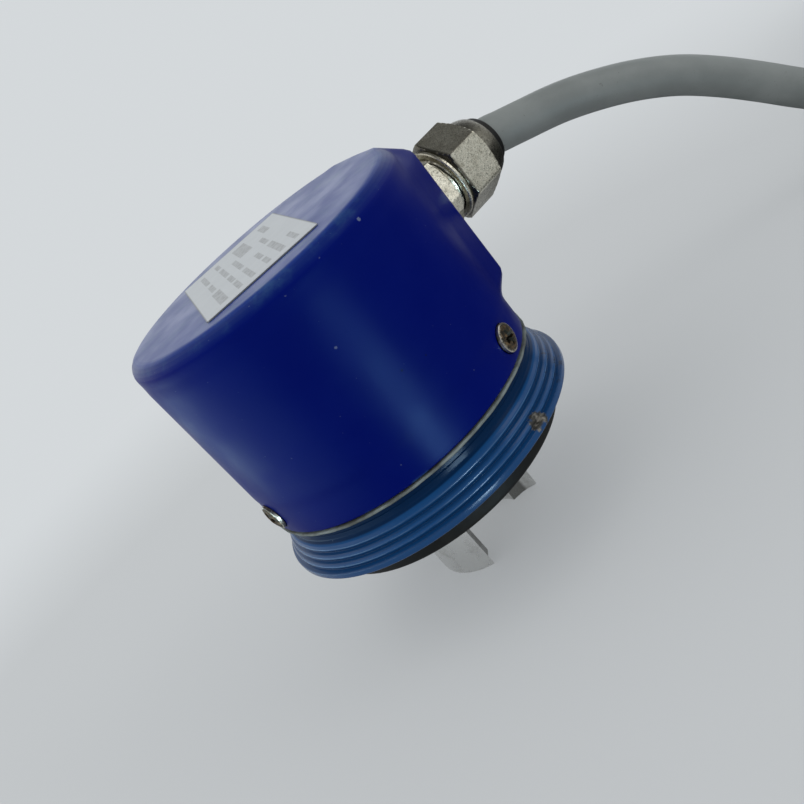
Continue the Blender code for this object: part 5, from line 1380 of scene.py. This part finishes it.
def lead_point(turned_by, side, t, tie_angle):
    """A lead's middle: from the cable's open end down into the valley between the two top strands."""
    spread = eased(LEAD_SPREAD_PACE * t)
    offset = side * (LEAD_FIRST_PITCH + (LEAD_PITCH - LEAD_FIRST_PITCH) * spread)
    valley = math.sqrt((CABLE_RADIUS + LEAD_RADIUS) ** 2 - (CABLE_RADIUS - abs(offset)) ** 2)
    rest = (2 * COIL_LAYERS - 1) * CABLE_RADIUS + valley + tie_lift(turned_by - tie_angle)
    height = COIL_ON_TOP + (rest - COIL_ON_TOP) * spread
    return COIL_CENTRE + polar(COIL_ENTRY + turned_by, COIL_MIDDLE + offset, height)


def make_leads(start, tie_angle):
    """The open end: a core stub, and insulated leads with bare tips."""
    copper = bare_copper()
    core_end = start + LEAD_CORE_LENGTH / COIL_MIDDLE
    tip_start = core_end + LEAD_SWEEP
    core_turns = (start - LEAD_CORE_OVERLAP, start, core_end)
    core = [COIL_CENTRE + polar(COIL_ENTRY + turn, COIL_MIDDLE, COIL_ON_TOP) for turn in core_turns]
    filler = lead_insulation("lead_core", LEAD_FILLER)
    pieces = [add_curve("lead_core", core, LEAD_CORE_RADIUS, filler)]
    steps = [k / LEAD_STEPS for k in range(LEAD_STEPS + 1)]
    tip_turns = [tip_start + LEAD_TIP_SWEEP * t for t in LEAD_TIP_STEPS]
    for i, colour in enumerate(LEAD_COLOURS):
        side = i - 0.5 * (len(LEAD_COLOURS) - 1)
        lead = [lead_point(core_end + LEAD_SWEEP * t, side, t, tie_angle) for t in steps]
        tip = [lead_point(turn, side, 1.0, tie_angle) for turn in tip_turns]
        insulation = lead_insulation(f"lead_insulation_{i + 1}", colour)
        pieces.append(add_curve(f"lead_{i + 1}", lead, LEAD_RADIUS, insulation, LEAD_SMOOTHNESS))
        pieces.append(add_curve(f"lead_tip_{i + 1}", tip, LEAD_TIP_RADIUS, copper, LEAD_SMOOTHNESS))
    for piece in pieces:
        settle(piece, "lead_insulation", "cable_leads")
    return pieces


# Stage


def make_floor():
    """A pale floor that has a share of the backdrop's tone and goes right over into it far away."""
    shape = bmesh.new()
    bmesh.ops.create_circle(shape, cap_ends=True, segments=RING_SIDES, radius=FLOOR_RADIUS)
    material = bpy.data.materials.new("floor")
    material.use_nodes = True
    material.node_tree.nodes.clear()
    floor = Nodes(material.node_tree)
    near = floor.add("BsdfDiffuse", {"Color": FLOOR_COLOUR})
    far = floor.add("Emission", {"Color": BACKDROP_COLOUR})
    far_share = floor.ramp(floor.distance(FLOOR_FADE_CENTRE_MM), *FLOOR_FADE)
    near_share = floor.both(floor.either(*floor.seen_rays()), FLOOR_BACKDROP_SHARE)
    floor.put_out(floor.either(far_share, near_share), near, far, "OutputMaterial")
    add_mesh("floor", shape, material)


def make_dark_card():
    """A dark card on the floor to the right, seen only in reflections, as a studio flag is."""
    matt = Finish("dark_card", 1.0)
    matt.set("Base Color", DARK_CARD_COLOUR)
    card = add_mesh("dark_card", block(DARK_CARD_SIZE, DARK_CARD_PLACE), matt.material)
    card.visible_camera = False
    card.visible_diffuse = False
    card.visible_shadow = False


def make_world():
    """Even soft light, with the backdrop's tone for what is seen directly or mirrored."""
    world = bpy.data.worlds.new("studio")
    bpy.context.scene.world = world
    world.use_nodes = True
    world.node_tree.nodes.clear()
    sky = Nodes(world.node_tree)
    direct, glossy, through = sky.seen_rays()
    mirrored = sky.both(glossy, sky.ramp(sky.split(sky.places["Generated"])[2], *MIRRORED_SKY))
    strength = sky.either(direct, through, mirrored)
    light = sky.add("Background", {"Color": AMBIENT_COLOUR, "Strength": AMBIENT_STRENGTH})
    seen = sky.add("Background", {"Color": BACKDROP_COLOUR, "Strength": strength})
    sky.put_out(sky.either(direct, glossy, through), light, seen, "OutputWorld")


def make_lights():
    for name, place, target, size, power, colour, on_matt in LIGHTS:
        data = bpy.data.lights.new(name, "AREA")
        data.shape = "RECTANGLE"
        data.size, data.size_y = size
        data.energy = power
        data.color = colour
        lamp = add_object(name, data)
        lamp.location = place
        lamp.visible_diffuse = on_matt
        lamp.visible_camera = False
        aim = Vector(target) - Vector(place)
        lamp.rotation_euler = aim.to_track_quat("-Z", "Y").to_euler()


def make_camera():
    data = bpy.data.cameras.new("photo_camera")
    data.lens = CAMERA_LENS
    data.sensor_width = CAMERA_SENSOR
    data.clip_start = CAMERA_CLIP
    camera = add_object("photo_camera", data)
    back = CAMERA_RIGHT.cross(CAMERA_UP)
    turn = Matrix((CAMERA_RIGHT, CAMERA_UP, back)).transposed()
    camera.matrix_world = Matrix.Translation(CAMERA_PLACE) @ turn.to_4x4()
    bpy.context.scene.camera = camera


def build():
    make_camera()
    finish_nodes()
    make_cap()
    make_cap_screws()
    make_gasket()
    make_label()
    make_flange()
    make_face_ring()
    gland_pieces = [make_gland_body(), make_gland_nut(), make_gland_seal()]
    make_hub()
    make_cable()
    make_floor()
    make_dark_card()
    make_world()
    make_lights()
    bpy.context.scene.view_settings.view_transform = "Standard"


build()
